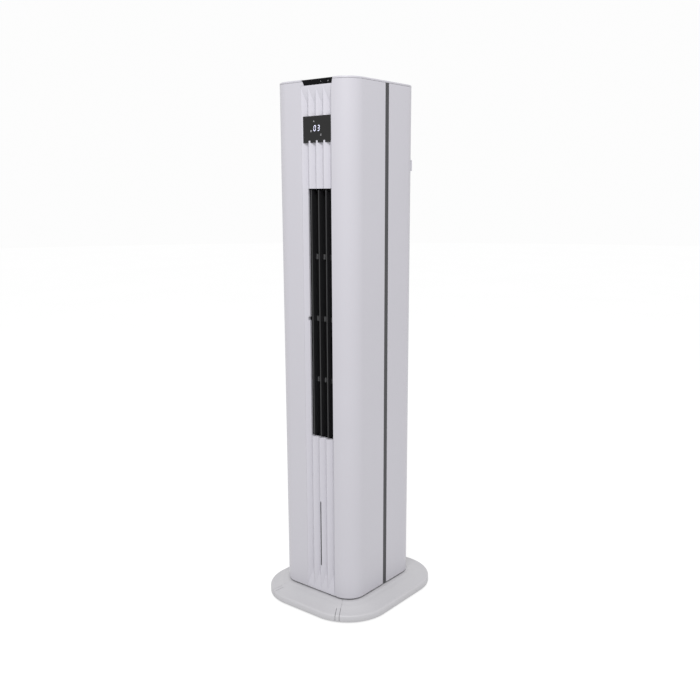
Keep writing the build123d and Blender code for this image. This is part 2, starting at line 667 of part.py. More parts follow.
def blower_wheel():
    bottom, top = WHEEL_Z
    blade = prism(wheel_blade(), bottom, top)
    wheel = Part()
    step = (top - bottom - DISC_THICKNESS) / (WHEEL_DISCS - 1)
    for disc in range(WHEEL_DISCS):
        z = bottom + disc * step
        hole = SHAFT_RADIUS if disc in (0, WHEEL_DISCS - 1) else DISC_OPENING
        wheel += rod(0, 0, z, z + DISC_THICKNESS, WHEEL_RADIUS) - rod(0, 0, 0, TALL, hole)
    blades = [Rot(0, 0, 360 * n / WHEEL_BLADES) * blade for n in range(WHEEL_BLADES)]
    return wheel + blades


def scroll_wall():
    """The guide wall that wraps the wheel's right side and leads to the outlet."""
    start, middle, end = SCROLL_START, SCROLL_MIDDLE, (DUCT[1] + OVER, SCROLL_END_Y)
    thick = SCROLL_THICKNESS
    outer_start = (start[0] + SCROLL_START_SHIFT, start[1] + SCROLL_START_SHIFT)
    outer_end = (end[0] + thick, end[1])
    inner = ThreePointArc(start, middle, end)
    outer = ThreePointArc(outer_start, (middle[0] + thick, middle[1]), outer_end)
    ends = Line(start, outer_start) + Line(end, outer_end)
    wall = make_face(Wire.combine((inner + outer + ends).edges())[0])
    return prism(wall, BLOWER_DECK_Z[1], UPPER_DECK_Z[0])


def cutoff_tongue():
    """The narrow wall on the wheel's left that stops air from running round."""
    return prism(Polygon(*TONGUE, align=None), BLOWER_DECK_Z[1], UPPER_DECK_Z[0])


def blower_parts():
    save("blower_wheel", blower_wheel())
    shaft_foot = MOTOR_Z[1] - 5 * SHAFT_RADIUS
    lower = rod(0, 0, shaft_foot, WHEEL_Z[0] + DISC_THICKNESS, SHAFT_RADIUS)
    upper = rod(0, 0, WHEEL_Z[1] - DISC_THICKNESS, UPPER_DECK_Z[1] + DISC_THICKNESS, SHAFT_RADIUS)
    save("blower_shafts", group([lower, upper]))
    motor = rod(0, 0, *MOTOR_Z, MOTOR_RADIUS)
    motor = fillet(motor.edges().group_by(Axis.Z)[-1], SHAFT_RADIUS)
    motor += rod(0, 0, MOTOR_Z[1], MOTOR_Z[1] + MOTOR_COLLAR_HEIGHT, MOTOR_COLLAR)
    motor -= rod(0, 0, shaft_foot - SHAFT_RADIUS, TALL, SHAFT_RADIUS + PIN_FIT)
    save("blower_motor", motor)
    mounts = []
    for turn in MOTOR_MOUNT_TURNS:
        spot = (MOTOR_MOUNT_RING * cos(radians(turn)), MOTOR_MOUNT_RING * sin(radians(turn)))
        mounts.append(rod(*spot, TANK_DECK_Z[1], MOTOR_Z[0], 1.5 * SHAFT_RADIUS))
    save("motor_mounts", group(mounts))
    bearing = rod(0, 0, UPPER_DECK_Z[0], UPPER_DECK_Z[1] + 2 * OVER, BEARING_RADIUS)
    bearing -= rod(0, 0, 0, TALL, SHAFT_RADIUS + PIN_FIT)
    save("upper_bearing", bearing)
    save("scroll_wall", scroll_wall())
    save("cutoff_tongue", cutoff_tongue())


# ---- decks --------------------------------------------------------------------------------------------
def deck(z0, z1, front, back):
    """A level plate that fits inside both shells."""
    return prism(body_outline(WALL + DECK_GAP), z0, z1) & block(-FAR, FAR, front, back, z0, z1)


def deck_parts():
    floor = deck(*FLOOR_Z, -FAR, REAR_SPLIT)
    behind_strip = BODY_FRONT + STRIP_DEPTH + SEAM
    floor -= block(STRIP_LEFT - OVER, STRIP_RIGHT + OVER, -FAR, behind_strip, 0, TALL)
    for x, y in BASE_SCREW_SPOTS:
        floor -= rod(x, y, 0, TALL, BASE_SCREW_RADII[1])
    for side in (-1, 1):
        inner, outer = sorted(side * x for x in RUNNER_X)
        floor += block(inner, outer, TANK_FRONT, REAR_SPLIT, FLOOR_Z[1], TANK_Z[0] - SEAM)
    save("chassis_floor", floor)
    save("tank_deck", deck(*TANK_DECK_Z, RISER_Y + HOSE_RADII[0] + DECK_GAP, REAR_SPLIT))
    blower_deck = deck(*BLOWER_DECK_Z, DECK_FRONT, REAR_SPLIT)
    save("blower_deck", blower_deck - rod(0, 0, 0, TALL, BEARING_RADIUS + OVER))
    upper_deck = deck(*UPPER_DECK_Z, DECK_FRONT, REAR_SPLIT) - rod(0, 0, 0, TALL, BEARING_RADIUS)
    save("upper_deck", upper_deck - rod(PUMP[0], HOSE_END_Y, 0, TALL, HOSE_RADII[0] + 2 * SEAM))


# ---- water side -----------------------------------------------------------------------------------------
def water_tank():
    """An open tank with a curved face that closes the tower's back."""
    bottom, top = TANK_Z
    wall = TANK_WALL
    back, tail_back = REAR_SPLIT - BAY_GAP, BODY_BACK - WALL
    half, tail = TANK_HALF, TANK_TAIL
    tank = block(-half, half, TANK_FRONT, back, bottom, top)
    tank += block(-tail, tail, back - 2 * wall, tail_back, bottom, top)
    inner_back = back - 2 * wall
    inside = block(-half + wall, half - wall, TANK_FRONT + wall, inner_back, bottom + wall, TALL)
    tail_inside = block(-tail + wall, tail - wall, 0, tail_back - wall, bottom + wall, TALL)
    tank = tank - inside - tail_inside
    tank += body_ring(*TANK_FACE_Z) & block(-FAR, FAR, REAR_SPLIT + SEAM, FAR, 0, TALL)
    pull_half, pull_depth, pull_bottom, pull_top = PULL
    pull_front, pull_back = BODY_BACK - OVER, BODY_BACK + pull_depth
    pull = block(-pull_half, pull_half, pull_front, pull_back, pull_bottom, pull_top)
    return tank + fillet(pull.edges().filter_by(Axis.X), RIB_HALF)


def pump_body():
    """A submersible pump with an open inlet, a lift pipe and a plug-in spigot."""
    x, y = PUMP
    floor = TANK_Z[0] + TANK_WALL
    half, depth, height = PUMP_SIZE
    pipe_x = x - PIPE_SHIFT
    pump = block(x - half, x + half, y - depth, y + depth, floor, floor + height)
    chamber_floor = floor + PUMP_FLOOR
    intake_half, intake_top = PUMP_INTAKE
    pump -= rod(x + PIPE_RADIUS, y, chamber_floor, floor + PUMP_ROOF, PUMP_CHAMBER)
    pump -= block(
        x + PIPE_RADIUS, x + 2 * half, y - intake_half, y + intake_half,
        chamber_floor, floor + intake_top,
    )
    pipe = rod(pipe_x, y, floor + height - PIPE_RADIUS, SPIGOT_Z + PIPE_RADIUS, PIPE_RADIUS)
    return pump + pipe + rod_along_y(pipe_x, SPIGOT_Z, RISER_Y + HOSE_BEND, y, SPIGOT_RADIUS)


def pump_impeller():
    x, y = PUMP
    floor = TANK_Z[0] + TANK_WALL
    centre = x + PIPE_RADIUS
    plate_bottom, plate_top = (floor + z for z in IMPELLER_PLATE)
    hub_radius, hub_top = IMPELLER_HUB
    wheel = rod(centre, y, plate_bottom, plate_top, PUMP_CHAMBER - RIB_HALF)
    wheel += rod(centre, y, plate_bottom, floor + hub_top, hub_radius)
    for turn in range(0, 180, 45):
        wheel += Pos(centre, y, floor + IMPELLER_VANE_Z) * Rot(0, 0, turn) * Box(*IMPELLER_VANE)
    return wheel


def riser_hose():
    """The hose from the spigot's socket, up the left side and back to the tray."""
    x, end_x = PUMP[0] - PIPE_SHIFT, PUMP[0]
    socket = RISER_Y + 2 * HOSE_RADII[0] + CUP_WALL
    points = [
        (x, socket, SPIGOT_Z), (x, RISER_Y, SPIGOT_Z), (x, RISER_Y, RISER_TOP),
        (end_x, HOSE_END_Y, RISER_TOP), (end_x, HOSE_END_Y, UPPER_DECK_Z[0] - CUP_WALL),
    ]
    path = FilletPolyline(*points, radius=HOSE_BEND)
    outer, inner = HOSE_RADII
    section = Plane(origin=path @ 0, z_dir=path % 0) * (Circle(outer) - Circle(inner))
    return sweep(section, path=path)


def water_parts():
    save("water_tank", water_tank())
    save("pump_body", pump_body())
    save("pump_impeller", pump_impeller())
    save("riser_hose", riser_hose())
    pad_bottom, pad_top = PAD_Z
    save("cooling_pad", block(-PAD_HALF, PAD_HALF, *PAD_Y, pad_bottom, pad_top))
    half, side, wall = PAD_HALF, PAD_FRAME_SIDE, PAD_FRAME_WALL
    depth = (PAD_Y[0] - wall, PAD_Y[1] + wall)
    tray_bottom = pad_top + 2 * wall
    frame = block(-half - side, half + side, *depth, BLOWER_DECK_Z[1], tray_bottom)
    frame -= block(-half, half, *PAD_Y, pad_bottom, pad_top)
    frame -= block(-half + side, half - side, 0, FAR, pad_bottom + side, pad_top - side)
    save("pad_frame", frame)
    half += 2 * wall
    tray = block(-half, half, *depth, tray_bottom, UPPER_DECK_Z[0])
    tray -= block(-half + wall, half - wall, *PAD_Y, tray_bottom + wall, TALL)
    for x in range(-5 * TRAY_DRIP_PITCH, 6 * TRAY_DRIP_PITCH, TRAY_DRIP_PITCH):
        tray -= rod(x, PAD_Y[0] + side, 0, TALL, TRAY_DRIP_RADIUS)
    save("distribution_tray", tray)


# ---- rear grille and electronics -------------------------------------------------------
def corner_tab(side):
    """A finger tab that stands a little proud of the grille's corner."""
    centre_x = side * (BODY_WIDTH / 2 - BODY_CORNER)
    centre_y = BODY_BACK - BODY_CORNER
    centre = Pos(centre_x, centre_y)
    band = centre * (Circle(BODY_CORNER + TAB_PROUD) - Circle(BODY_CORNER - WALL / 2))
    reach = Pos(BODY_CORNER, 0) * Rectangle(BODY_CORNER / 2, TAB_WIDTH)
    tab = prism(band & (centre * Rot(0, 0, 90 - side * TAB_TURN) * reach), *TAB_Z)
    return fillet(tab.edges().group_by(Axis.Z)[-1], TAB_PROUD / 3)


def rear_grille():
    bottom, top = GRILLE_Z
    half = LOUVRE_HALF
    louvre_bottom, louvre_top = LOUVRE_Z
    front, reach = GRILLE_LEDGE
    grille = body_ring(bottom, top) & block(-FAR, FAR, REAR_SPLIT + SEAM, FAR, 0, HEIGHT)
    grille += block(
        -half - reach, half + reach, front, BODY_BACK - WALL,
        louvre_bottom - reach, louvre_top + reach,
    )
    grille -= block(-half, half, 0, FAR, louvre_bottom, louvre_top)
    slats = []
    z = louvre_bottom + LOUVRE_PITCH / 2
    while z < louvre_top:
        slat = Rot(LOUVRE_TILT, 0, 0) * Box(2 * (half + OVER), *LOUVRE_BLADE)
        slats.append(Pos(0, BODY_BACK - 1.6 * WALL, z) * slat)
        z += LOUVRE_PITCH
    for x in RIB_X:
        rib = (x - RIB_HALF, x + RIB_HALF, front + OVER, front + 6 * OVER)
        slats.append(block(*rib, louvre_bottom - OVER, louvre_top + OVER))
    return grille + slats + [corner_tab(-1), corner_tab(1)]


def rear_parts():
    save("rear_grille", rear_grille())
    half, back = LOUVRE_HALF + FILTER_REACH, GRILLE_LEDGE[0]
    height = (LOUVRE_Z[0] - FILTER_REACH, LOUVRE_Z[1] + FILTER_REACH)
    save("filter_mesh", block(-half, half, back - FILTER_THICKNESS, back, *height))
    face = POWER_BOARD[2]
    power = block(*POWER_BOARD)
    for left, right, bottom, top, height in (RELAY, TRANSFORMER):
        power += block(left, right, face - height, face, bottom, top)
    x, z, radius, height = CAPACITOR
    power += rod_along_y(x, z, face - height, face, radius)
    save("power_board", power)
    save("tilt_switch", block(*TILT_SWITCH, TANK_DECK_Z[1], TANK_DECK_Z[1] + TILT_HEIGHT))


os.makedirs("parts", exist_ok=True)
base_parts()
shell_parts()
front_parts()
panel_parts()
vane_parts()
heater_parts()
blower_parts()
deck_parts()
water_parts()
rear_parts()
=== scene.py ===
import json
from math import cos, pi, radians, sin

import bmesh
import bpy
from mathutils import Matrix, Vector


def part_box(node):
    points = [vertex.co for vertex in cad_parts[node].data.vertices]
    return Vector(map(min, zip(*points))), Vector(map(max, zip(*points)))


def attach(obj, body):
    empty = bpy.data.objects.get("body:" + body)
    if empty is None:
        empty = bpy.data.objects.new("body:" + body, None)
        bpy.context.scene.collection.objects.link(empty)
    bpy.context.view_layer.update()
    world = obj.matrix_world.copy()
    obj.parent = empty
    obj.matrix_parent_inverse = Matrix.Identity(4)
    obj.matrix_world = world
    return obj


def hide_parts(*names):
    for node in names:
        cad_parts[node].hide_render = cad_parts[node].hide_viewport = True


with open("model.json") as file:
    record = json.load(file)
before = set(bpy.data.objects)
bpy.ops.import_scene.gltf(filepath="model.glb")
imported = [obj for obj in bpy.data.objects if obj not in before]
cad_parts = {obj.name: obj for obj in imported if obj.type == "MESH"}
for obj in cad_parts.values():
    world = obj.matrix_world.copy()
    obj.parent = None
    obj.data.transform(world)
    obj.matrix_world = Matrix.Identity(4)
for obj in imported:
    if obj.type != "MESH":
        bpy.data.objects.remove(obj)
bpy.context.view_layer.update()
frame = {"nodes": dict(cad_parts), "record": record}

MM = 0.001

# Cutters that pass right through the tower reach out to these places.
FAR = 0.3
UNDERNEATH, OVERHEAD = -0.1, 2.0
# Cutters that pass through one piece reach this far beyond it.
CLEAR = 10 * MM


# ---- places --------------------------------------------------------------------------
FRONT_LOW, FRONT_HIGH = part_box("front_shell")
REAR_LOW, REAR_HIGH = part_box("rear_shell")
STRIP_LOW, STRIP_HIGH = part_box("fascia")
COVER_LOW, COVER_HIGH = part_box("top_cover")
PANEL_LOW, PANEL_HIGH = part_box("control_panel")
GLASS_LOW, GLASS_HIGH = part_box("display_window")
BASE_LOW, BASE_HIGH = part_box("base_cover")
TANK_LOW, TANK_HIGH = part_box("water_tank")
GRILLE_LOW, GRILLE_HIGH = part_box("rear_grille")
CUP_LOW, CUP_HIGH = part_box("handle_cup")
LEVEL_LOW, LEVEL_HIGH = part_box("level_window")

# The tower's shell.
HALF_WIDTH = FRONT_HIGH[0]
FRONT = FRONT_LOW[1]
BACK = REAR_HIGH[1]
SHELL_BOTTOM = FRONT_LOW[2]
SHELL_TOP = FRONT_HIGH[2]
CORNER = 40 * MM
WALL = 2.8 * MM
SEAM = 0.3 * MM

# How far back the strip's slot is cut into the shell.
SLOT_DEPTH = 30 * MM

# The strip's grooves, from the height where a slope starts to the height where it ends.
GROOVES = 4
GROOVE_DEPTH = 7.5 * MM
GROOVE_PITCH = (STRIP_HIGH[0] - STRIP_LOW[0]) / GROOVES
GROOVE_TOP = (1054 * MM, 1084 * MM)
GROOVE_FOOT = (78 * MM, 42 * MM)

# The outlet, the cross bars in it and the notch at the middle bar's left end.
OUTLET_X = (-12.5 * MM, 53.2 * MM)
OUTLET_Z = (383 * MM, 893.5 * MM)
BARS = (759 * MM, 632.5 * MM, 504.5 * MM)
BAR_MIDDLE = BARS[1]
NOTCH_REACH = 3 * MM
NOTCH_HALF = 3.75 * MM

# The control panel's lip narrows to these sides at its foot.
PANEL_FOOT = (-14.6 * MM, 55.8 * MM)
PANEL_OVERHANG = 4.3 * MM

# The water-level slit, inside the flanges of its window.
LEVEL_X = (LEVEL_LOW[0] + LEVEL_HIGH[0]) / 2
LEVEL_HALF = 1.5 * MM
LEVEL_FLANGE = 5 * MM
LEVEL_Z = (LEVEL_LOW[2] + LEVEL_FLANGE, LEVEL_HIGH[2] - LEVEL_FLANGE)


# ---- mesh helpers --------------------------------------------------------------------
MERGE_DISTANCE = 1e-7


def add_mesh(name, verts, faces):
    """A new mesh object with its normals pointing out."""
    mesh = bpy.data.meshes.new(name)
    mesh.from_pydata([tuple(v) for v in verts], [], faces)
    work = bmesh.new()
    work.from_mesh(mesh)
    bmesh.ops.remove_doubles(work, verts=work.verts, dist=MERGE_DISTANCE)
    bmesh.ops.recalc_face_normals(work, faces=work.faces)
    work.to_mesh(mesh)
    work.free()
    piece = bpy.data.objects.new(name, mesh)
    bpy.context.scene.collection.objects.link(piece)
    return piece


def stacked(name, rings):
    """A closed solid from rings of points that all have the same count."""
    count = len(rings[0])
    verts = [point for ring in rings for point in ring]
    faces = []
    for level in range(len(rings) - 1):
        low, high = level * count, (level + 1) * count
        for i in range(count):
            j = (i + 1) % count
            faces.append((low + i, low + j, high + j, high + i))
    faces.append(tuple(reversed(range(count))))
    faces.append(tuple(range((len(rings) - 1) * count, len(rings) * count)))
    return add_mesh(name, verts, faces)


def raised(name, outline, low, high):
    """An outline in plan, raised from one height to another."""
    return stacked(name, [[(x, y, z) for x, y in outline] for z in (low, high)])


def rectangle(left, low, right, high):
    """The flat points of a rectangle between two corners."""
    return [(left, low), (right, low), (right, high), (left, high)]


def block(name, low, high):
    """A box between two corners, used as a cutter and as a rib."""
    return raised(name, rectangle(low[0], low[1], high[0], high[1]), low[2], high[2])


def lying(name, outline, low, high):
    """An outline of (x, z) points, carried from one y to another."""
    return stacked(name, [[(x, y, z) for x, z in outline] for y in (low, high)])


def prisms(name, outlines, place, near, far):
    """One mesh of short prisms between two planes, where place puts a flat point on a plane."""
    verts, faces = [], []
    for outline in outlines:
        first, count = len(verts), len(outline)
        verts += [place(point, near) for point in outline]
        verts += [place(point, far) for point in outline]
        faces.append(tuple(first + i for i in range(count)))
        faces.append(tuple(first + count + i for i in reversed(range(count))))
        for i in range(count):
            j = (i + 1) % count
            faces.append((first + i, first + count + i, first + count + j, first + j))
    return add_mesh(name, verts, faces)


def facing_front(point, y):
    """Puts an (x, z) point on an upright plane."""
    return (point[0], y, point[1])


def facing_up(point, z):
    """Puts an (x, y) point on a level plane."""
    return (point[0], point[1], z)


def disc(centre, radius, steps=32):
    """Points round a circle."""
    turns = [2 * pi * i / steps for i in range(steps)]
    return [(centre[0] + radius * cos(t), centre[1] + radius * sin(t)) for t in turns]


def apply_modifiers(piece):
    """Turns a piece's modifiers into its mesh."""
    depsgraph = bpy.context.evaluated_depsgraph_get()
    mesh = bpy.data.meshes.new_from_object(piece.evaluated_get(depsgraph))
    piece.modifiers.clear()
    piece.data = mesh
    return piece


def combine(piece, others, operation="DIFFERENCE"):
    """Cuts the other solids from a piece, or joins them to it, and removes them."""
    for other in others:
        modifier = piece.modifiers.new(operation.lower(), "BOOLEAN")
        modifier.operation = operation
        modifier.solver = "EXACT"
        modifier.object = other
        bpy.context.view_layer.update()
        apply_modifiers(piece)
        bpy.data.objects.remove(other)
    return piece


def soften(piece, width, segments=3, angle=30):
    """Rounds the sharp edges by a small radius and shades the rest smoothly."""
    bevel = piece.modifiers.new("edge radius", "BEVEL")
    bevel.width = width
    bevel.segments = segments
    bevel.limit_method = "ANGLE"
    bevel.angle_limit = radians(angle)
    bevel.use_clamp_overlap = True
    bevel.harden_normals = True
    for polygon in piece.data.polygons:
        polygon.use_smooth = True
    return piece


def dress(piece, body, material, replaces=()):
    """Gives a piece its body, its finish and the CAD nodes it stands for."""
    piece.data.materials.clear()
    piece.data.materials.append(material)
    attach(piece, body)
    if replaces:
        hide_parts(*replaces)
    return piece


def rounded_plan(half_x, low_y, high_y, radius, steps=28):
    """A rounded rectangle in plan, symmetric about x = 0, anticlockwise."""
    corners = [
        (half_x - radius, low_y + radius, -90), (half_x - radius, high_y - radius, 0),
        (-half_x + radius, high_y - radius, 90), (-half_x + radius, low_y + radius, 180),
    ]
    points = []
    for x, y, start in corners:
        for i in range(steps + 1):
            turn = radians(start + 90 * i / steps)
            points.append((x + radius * cos(turn), y + radius * sin(turn)))
    return points


def tower_plan(inset=0.0):
    """The tower's outline, smaller all round by the inset."""
    return rounded_plan(HALF_WIDTH - inset, FRONT + inset, BACK - inset, CORNER - inset)


# ---- materials -----------------------------------------------------------------------
DRIFT_SCALE = 7.0
SHEEN_SCALE = 60.0
SHEEN_SPREAD = 0.04
BAND_SPREAD = 0.06
GRAIN_DEPTH = 0.4 * MM
GLOW_SCALE = 300.0
GLOW_LOW = 0.9


def new_material(name):
    """A material that holds one principled shader."""
    material = bpy.data.materials.new(name)
    material.use_nodes = True
    nodes = material.node_tree.nodes
    nodes.clear()
    shader = nodes.new("ShaderNodeBsdfPrincipled")
    output = nodes.new("ShaderNodeOutputMaterial")
    material.node_tree.links.new(shader.outputs["BSDF"], output.inputs["Surface"])
    return material, nodes, material.node_tree.links, shader


def object_noise(nodes, links, scale, detail=3.0):
    """Noise in the object's own coordinates."""
    place = nodes.new("ShaderNodeTexCoord")
    noise = nodes.new("ShaderNodeTexNoise")
    noise.inputs["Scale"].default_value = scale
    noise.inputs["Detail"].default_value = detail
    links.new(place.outputs["Object"], noise.inputs["Vector"])
    return noise


def ranged(nodes, links, source, low, high):
    """Maps a 0 to 1 value to a range."""
    span = nodes.new("ShaderNodeMapRange")
    span.inputs["To Min"].default_value = low
    span.inputs["To Max"].default_value = high
    links.new(source, span.inputs["Value"])
    return span.outputs["Result"]


def moulded(
    name, colour, roughness, grain=0.04, tint=0.02, grain_scale=900.0, specular=0.5, metal=0.0
):
    """Moulded plastic or coated metal: faint tint drift, fine grain and uneven sheen."""
    material, nodes, links, shader = new_material(name)
    drift = object_noise(nodes, links, DRIFT_SCALE)
    mix = nodes.new("ShaderNodeMix")
    mix.data_type = "RGBA"
    mix.inputs["A"].default_value = (*[c * (1 - tint) for c in colour], 1)
    mix.inputs["B"].default_value = (*[min(1, c * (1 + tint)) for c in colour], 1)
    links.new(drift.outputs["Fac"], mix.inputs["Factor"])
    links.new(mix.outputs["Result"], shader.inputs["Base Color"])
    sheen = object_noise(nodes, links, SHEEN_SCALE).outputs["Fac"]
    spread = ranged(nodes, links, sheen, roughness - SHEEN_SPREAD, roughness + SHEEN_SPREAD)
    links.new(spread, shader.inputs["Roughness"])
    fine = object_noise(nodes, links, grain_scale, 2.0)
    bump = nodes.new("ShaderNodeBump")
    bump.inputs["Strength"].default_value = grain
    bump.inputs["Distance"].default_value = GRAIN_DEPTH
    links.new(fine.outputs["Fac"], bump.inputs["Height"])
    links.new(bump.outputs["Normal"], shader.inputs["Normal"])
    shader.inputs["Specular IOR Level"].default_value = specular
    shader.inputs["Metallic"].default_value = metal
    return material


def banded(name, dark, light, scale, axis, roughness, metal=0.0):
    """Fine parallel bands along one axis, for brushed metal, windings and corrugated paper."""
    material, nodes, links, shader = new_material(name)
    place = nodes.new("ShaderNodeTexCoord")
    wave = nodes.new("ShaderNodeTexWave")
    wave.bands_direction = axis
    wave.inputs["Scale"].default_value = scale
    wave.inputs["Distortion"].default_value = 1.2
    wave.inputs["Detail"].default_value = 2.0
    links.new(place.outputs["Object"], wave.inputs["Vector"])
    ramp = nodes.new("ShaderNodeValToRGB")
    ramp.color_ramp.elements[0].color = (*dark, 1)
    ramp.color_ramp.elements[1].color = (*light, 1)
    links.new(wave.outputs["Fac"], ramp.inputs["Fac"])
    links.new(ramp.outputs["Color"], shader.inputs["Base Color"])
    bands = wave.outputs["Fac"]
    spread = ranged(nodes, links, bands, roughness - BAND_SPREAD, roughness + BAND_SPREAD)
    links.new(spread, shader.inputs["Roughness"])
    shader.inputs["Metallic"].default_value = metal
    return material


def mesh_cloth(name, dark, light, scale):
    """A fine square mesh of threads."""
    material, nodes, links, shader = new_material(name)
    place = nodes.new("ShaderNodeTexCoord")
    total = nodes.new("ShaderNodeMath")
    total.operation = "MULTIPLY"
    for slot_index, axis in enumerate(("X", "Z")):
        wave = nodes.new("ShaderNodeTexWave")
        wave.bands_direction = axis
        wave.inputs["Scale"].default_value = scale
        links.new(place.outputs["Object"], wave.inputs["Vector"])
        links.new(wave.outputs["Fac"], total.inputs[slot_index])
    ramp = nodes.new("ShaderNodeValToRGB")
    ramp.color_ramp.elements[0].color = (*light, 1)
    ramp.color_ramp.elements[1].color = (*dark, 1)
    ramp.color_ramp.elements[1].position = 0.6
    links.new(total.outputs["Value"], ramp.inputs["Fac"])
    links.new(ramp.outputs["Color"], shader.inputs["Base Color"])
    shader.inputs["Roughness"].default_value = 0.8
    return material


def lit(name, colour, strength):
    """A mark that gives off a slightly uneven light."""
    material, nodes, links, shader = new_material(name)
    glow = object_noise(nodes, links, GLOW_SCALE)
    mix = nodes.new("ShaderNodeMix")
    mix.data_type = "RGBA"
    mix.inputs["A"].default_value = (*[c * GLOW_LOW for c in colour], 1)
    mix.inputs["B"].default_value = (*colour, 1)
    links.new(glow.outputs["Fac"], mix.inputs["Factor"])
    links.new(mix.outputs["Result"], shader.inputs["Emission Color"])
    links.new(mix.outputs["Result"], shader.inputs["Base Color"])
    shader.inputs["Emission Strength"].default_value = strength
    shader.inputs["Roughness"].default_value = 0.4
    return material


WHITE = moulded("white plastic", (0.435, 0.426, 0.463), 0.38, grain=0.05)
STRIP_WHITE = moulded("strip plastic", (0.462, 0.453, 0.495), 0.34, grain=0.04)
WHITE_BASE = moulded("base plastic", (0.425, 0.42, 0.438), 0.45, grain=0.08)
TRIM = moulded("dark trim", (0.035, 0.035, 0.038), 0.55, grain=0.15, tint=0.08)
GLOSS = moulded("gloss black", (0.002, 0.002, 0.0025), 0.14, grain=0.0, tint=0.1, specular=0.08)
GLASS = moulded("display glass", (0.007, 0.007, 0.007), 0.16, grain=0.0, tint=0.1, specular=0.3)
BLACK = moulded("satin black", (0.011, 0.011, 0.012), 0.42, grain=0.10, tint=0.12)
KEY = moulded("key plastic", (0.028, 0.028, 0.030), 0.45, grain=0.10, tint=0.08)
# The cross bars are dark plastic, but lighter than the black vanes so that they show as bright spots
# between them: this lift of the colour is a painted highlight.
BAR_PAINTED_HIGHLIGHT = moulded("bar plastic with painted highlight", (0.04, 0.04, 0.042), 0.35, grain=0.08, tint=0.06)
INNER = moulded("inner black", (0.012, 0.012, 0.012), 0.65, grain=0.12, tint=0.15)
GREY = moulded("inner grey", (0.26, 0.26, 0.27), 0.55, grain=0.12, tint=0.06)
SMOKE = moulded("smoked window", (0.006, 0.006, 0.007), 0.18, grain=0.0, tint=0.10, specular=0.2)
CERAMIC = moulded("fired ceramic", (0.45, 0.42, 0.38), 0.80, grain=0.5, tint=0.12, grain_scale=500.0)
FINS = banded("folded strip", (0.035, 0.035, 0.036), (0.06, 0.06, 0.062), 120.0, "Z", 0.5, 0.4)
STEEL = banded("zinc steel", (0.42, 0.42, 0.43), (0.60, 0.60, 0.61), 260.0, "X", 0.34, 1.0)
BRONZE = moulded("sintered bush", (0.50, 0.34, 0.16), 0.45, grain=0.3, tint=0.15, metal=1.0)
RUBBER = moulded("rubber", (0.020, 0.020, 0.020), 0.78, grain=0.4, tint=0.10)
HOSE = moulded("milky hose", (0.60, 0.61, 0.63), 0.30, grain=0.03, tint=0.05)
PUMP = moulded("pump plastic", (0.025, 0.025, 0.030), 0.40, grain=0.08, tint=0.08)
PAD = banded("corrugated paper", (0.16, 0.10, 0.045), (0.38, 0.26, 0.13), 90.0, "Z", 0.85)
FILTER = mesh_cloth("filter weave", (0.012, 0.012, 0.013), (0.05, 0.05, 0.052), 220.0)
BOARD = moulded("circuit board", (0.015, 0.13, 0.05), 0.45, grain=0.2, tint=0.2, grain_scale=400.0)
DIGIT = lit("lit digits", (0.72, 0.73, 0.92), 0.5)
MARK = lit("dim symbols", (0.36, 0.36, 0.38), 0.06)

FINISHES = {
    "white_shell": WHITE, "base_white": WHITE_BASE, "trim_grey": TRIM, "panel_black": GLOSS,
    "button_black": KEY, "outlet_black": BLACK, "bar_grey": BAR_PAINTED_HIGHLIGHT, "inner_black": INNER,
    "inner_grey": GREY, "level_smoke": SMOKE, "ceramic": CERAMIC, "fins": FINS, "steel": STEEL,
    "bearing_bronze": BRONZE, "rubber": RUBBER, "hose": HOSE, "pump_black": PUMP, "pad": PAD,
    "filter": FILTER, "board": BOARD,
}


# ---- CAD nodes -----------------------------------------------------------------------
WELD_DISTANCE = 1e-6
NODE_EDGE = 0.25 * MM
EDGED_NODES = (
    "water_tank", "rear_grille", "handle_cup", "side_trim_left", "side_trim_right", "cord_inlet",
    "vane_bars", "outlet_frame", "level_window", "shell_screws",
)


def finish_cad_nodes():
    """Every CAD node takes the finish of its record slot, and the outer ones a small edge radius."""
    slots = {part["node"]: part["material_slot"] for part in frame["record"]["subparts"]}
    for node, piece in frame["nodes"].items():
        for material_slot in piece.material_slots:
            material_slot.material = FINISHES[slots[node]]
    for node in EDGED_NODES:
        piece = frame["nodes"][node]
        weld = piece.modifiers.new("weld", "WELD")
        weld.merge_threshold = WELD_DISTANCE
        bevel = piece.modifiers.new("edge radius", "BEVEL")
        bevel.width = NODE_EDGE
        bevel.segments = 2
        bevel.limit_method = "ANGLE"
        bevel.angle_limit = radians(40)
        weights = piece.modifiers.new("even shading", "WEIGHTED_NORMAL")
        weights.mode = "FACE_AREA_WITH_ANGLE"


# ---- shells --------------------------------------------------------------------------
SHELL_EDGE = 0.45 * MM
REAR_EDGE = 0.6 * MM

# Bridges behind the strip tie the two wings together, each with two arms.
BRIDGES = ((46 * MM, 86 * MM), (256 * MM, 332 * MM), (908 * MM, 972 * MM), (1036 * MM, 1064 * MM))
BRIDGE_OVERLAP = 8 * MM
ARM_WIDTH = 4 * MM
ARM_INSET = 1 * MM
ARM_FRONT = 1.5 * MM
JAMB_OVERLAP = 2 * MM

# The bays in the back are cut from this depth.
BAY_FRONT = 85.5 * MM
BAY_GAP = 0.5 * MM
HANDLE_HALF = 45 * MM
HANDLE_RIM = 3 * MM
INLET_RADIUS = 8 * MM
SCREW_RADIUS = 3.6 * MM
SCREW_SIDE = 50 * MM
SCREW_TOP = 1080 * MM

COVER_EDGE = 2.0 * MM
COVER_CHAMFER = 0.3 * MM
COVER_STEPS = 6


def tower_wall(name):
    """The tower's wall as an open-topped tube."""
    tube = raised(name, tower_plan(), SHELL_BOTTOM, SHELL_TOP)
    core = raised("core", tower_plan(WALL), SHELL_BOTTOM - CLEAR, SHELL_TOP + CLEAR)
    return combine(tube, [core])


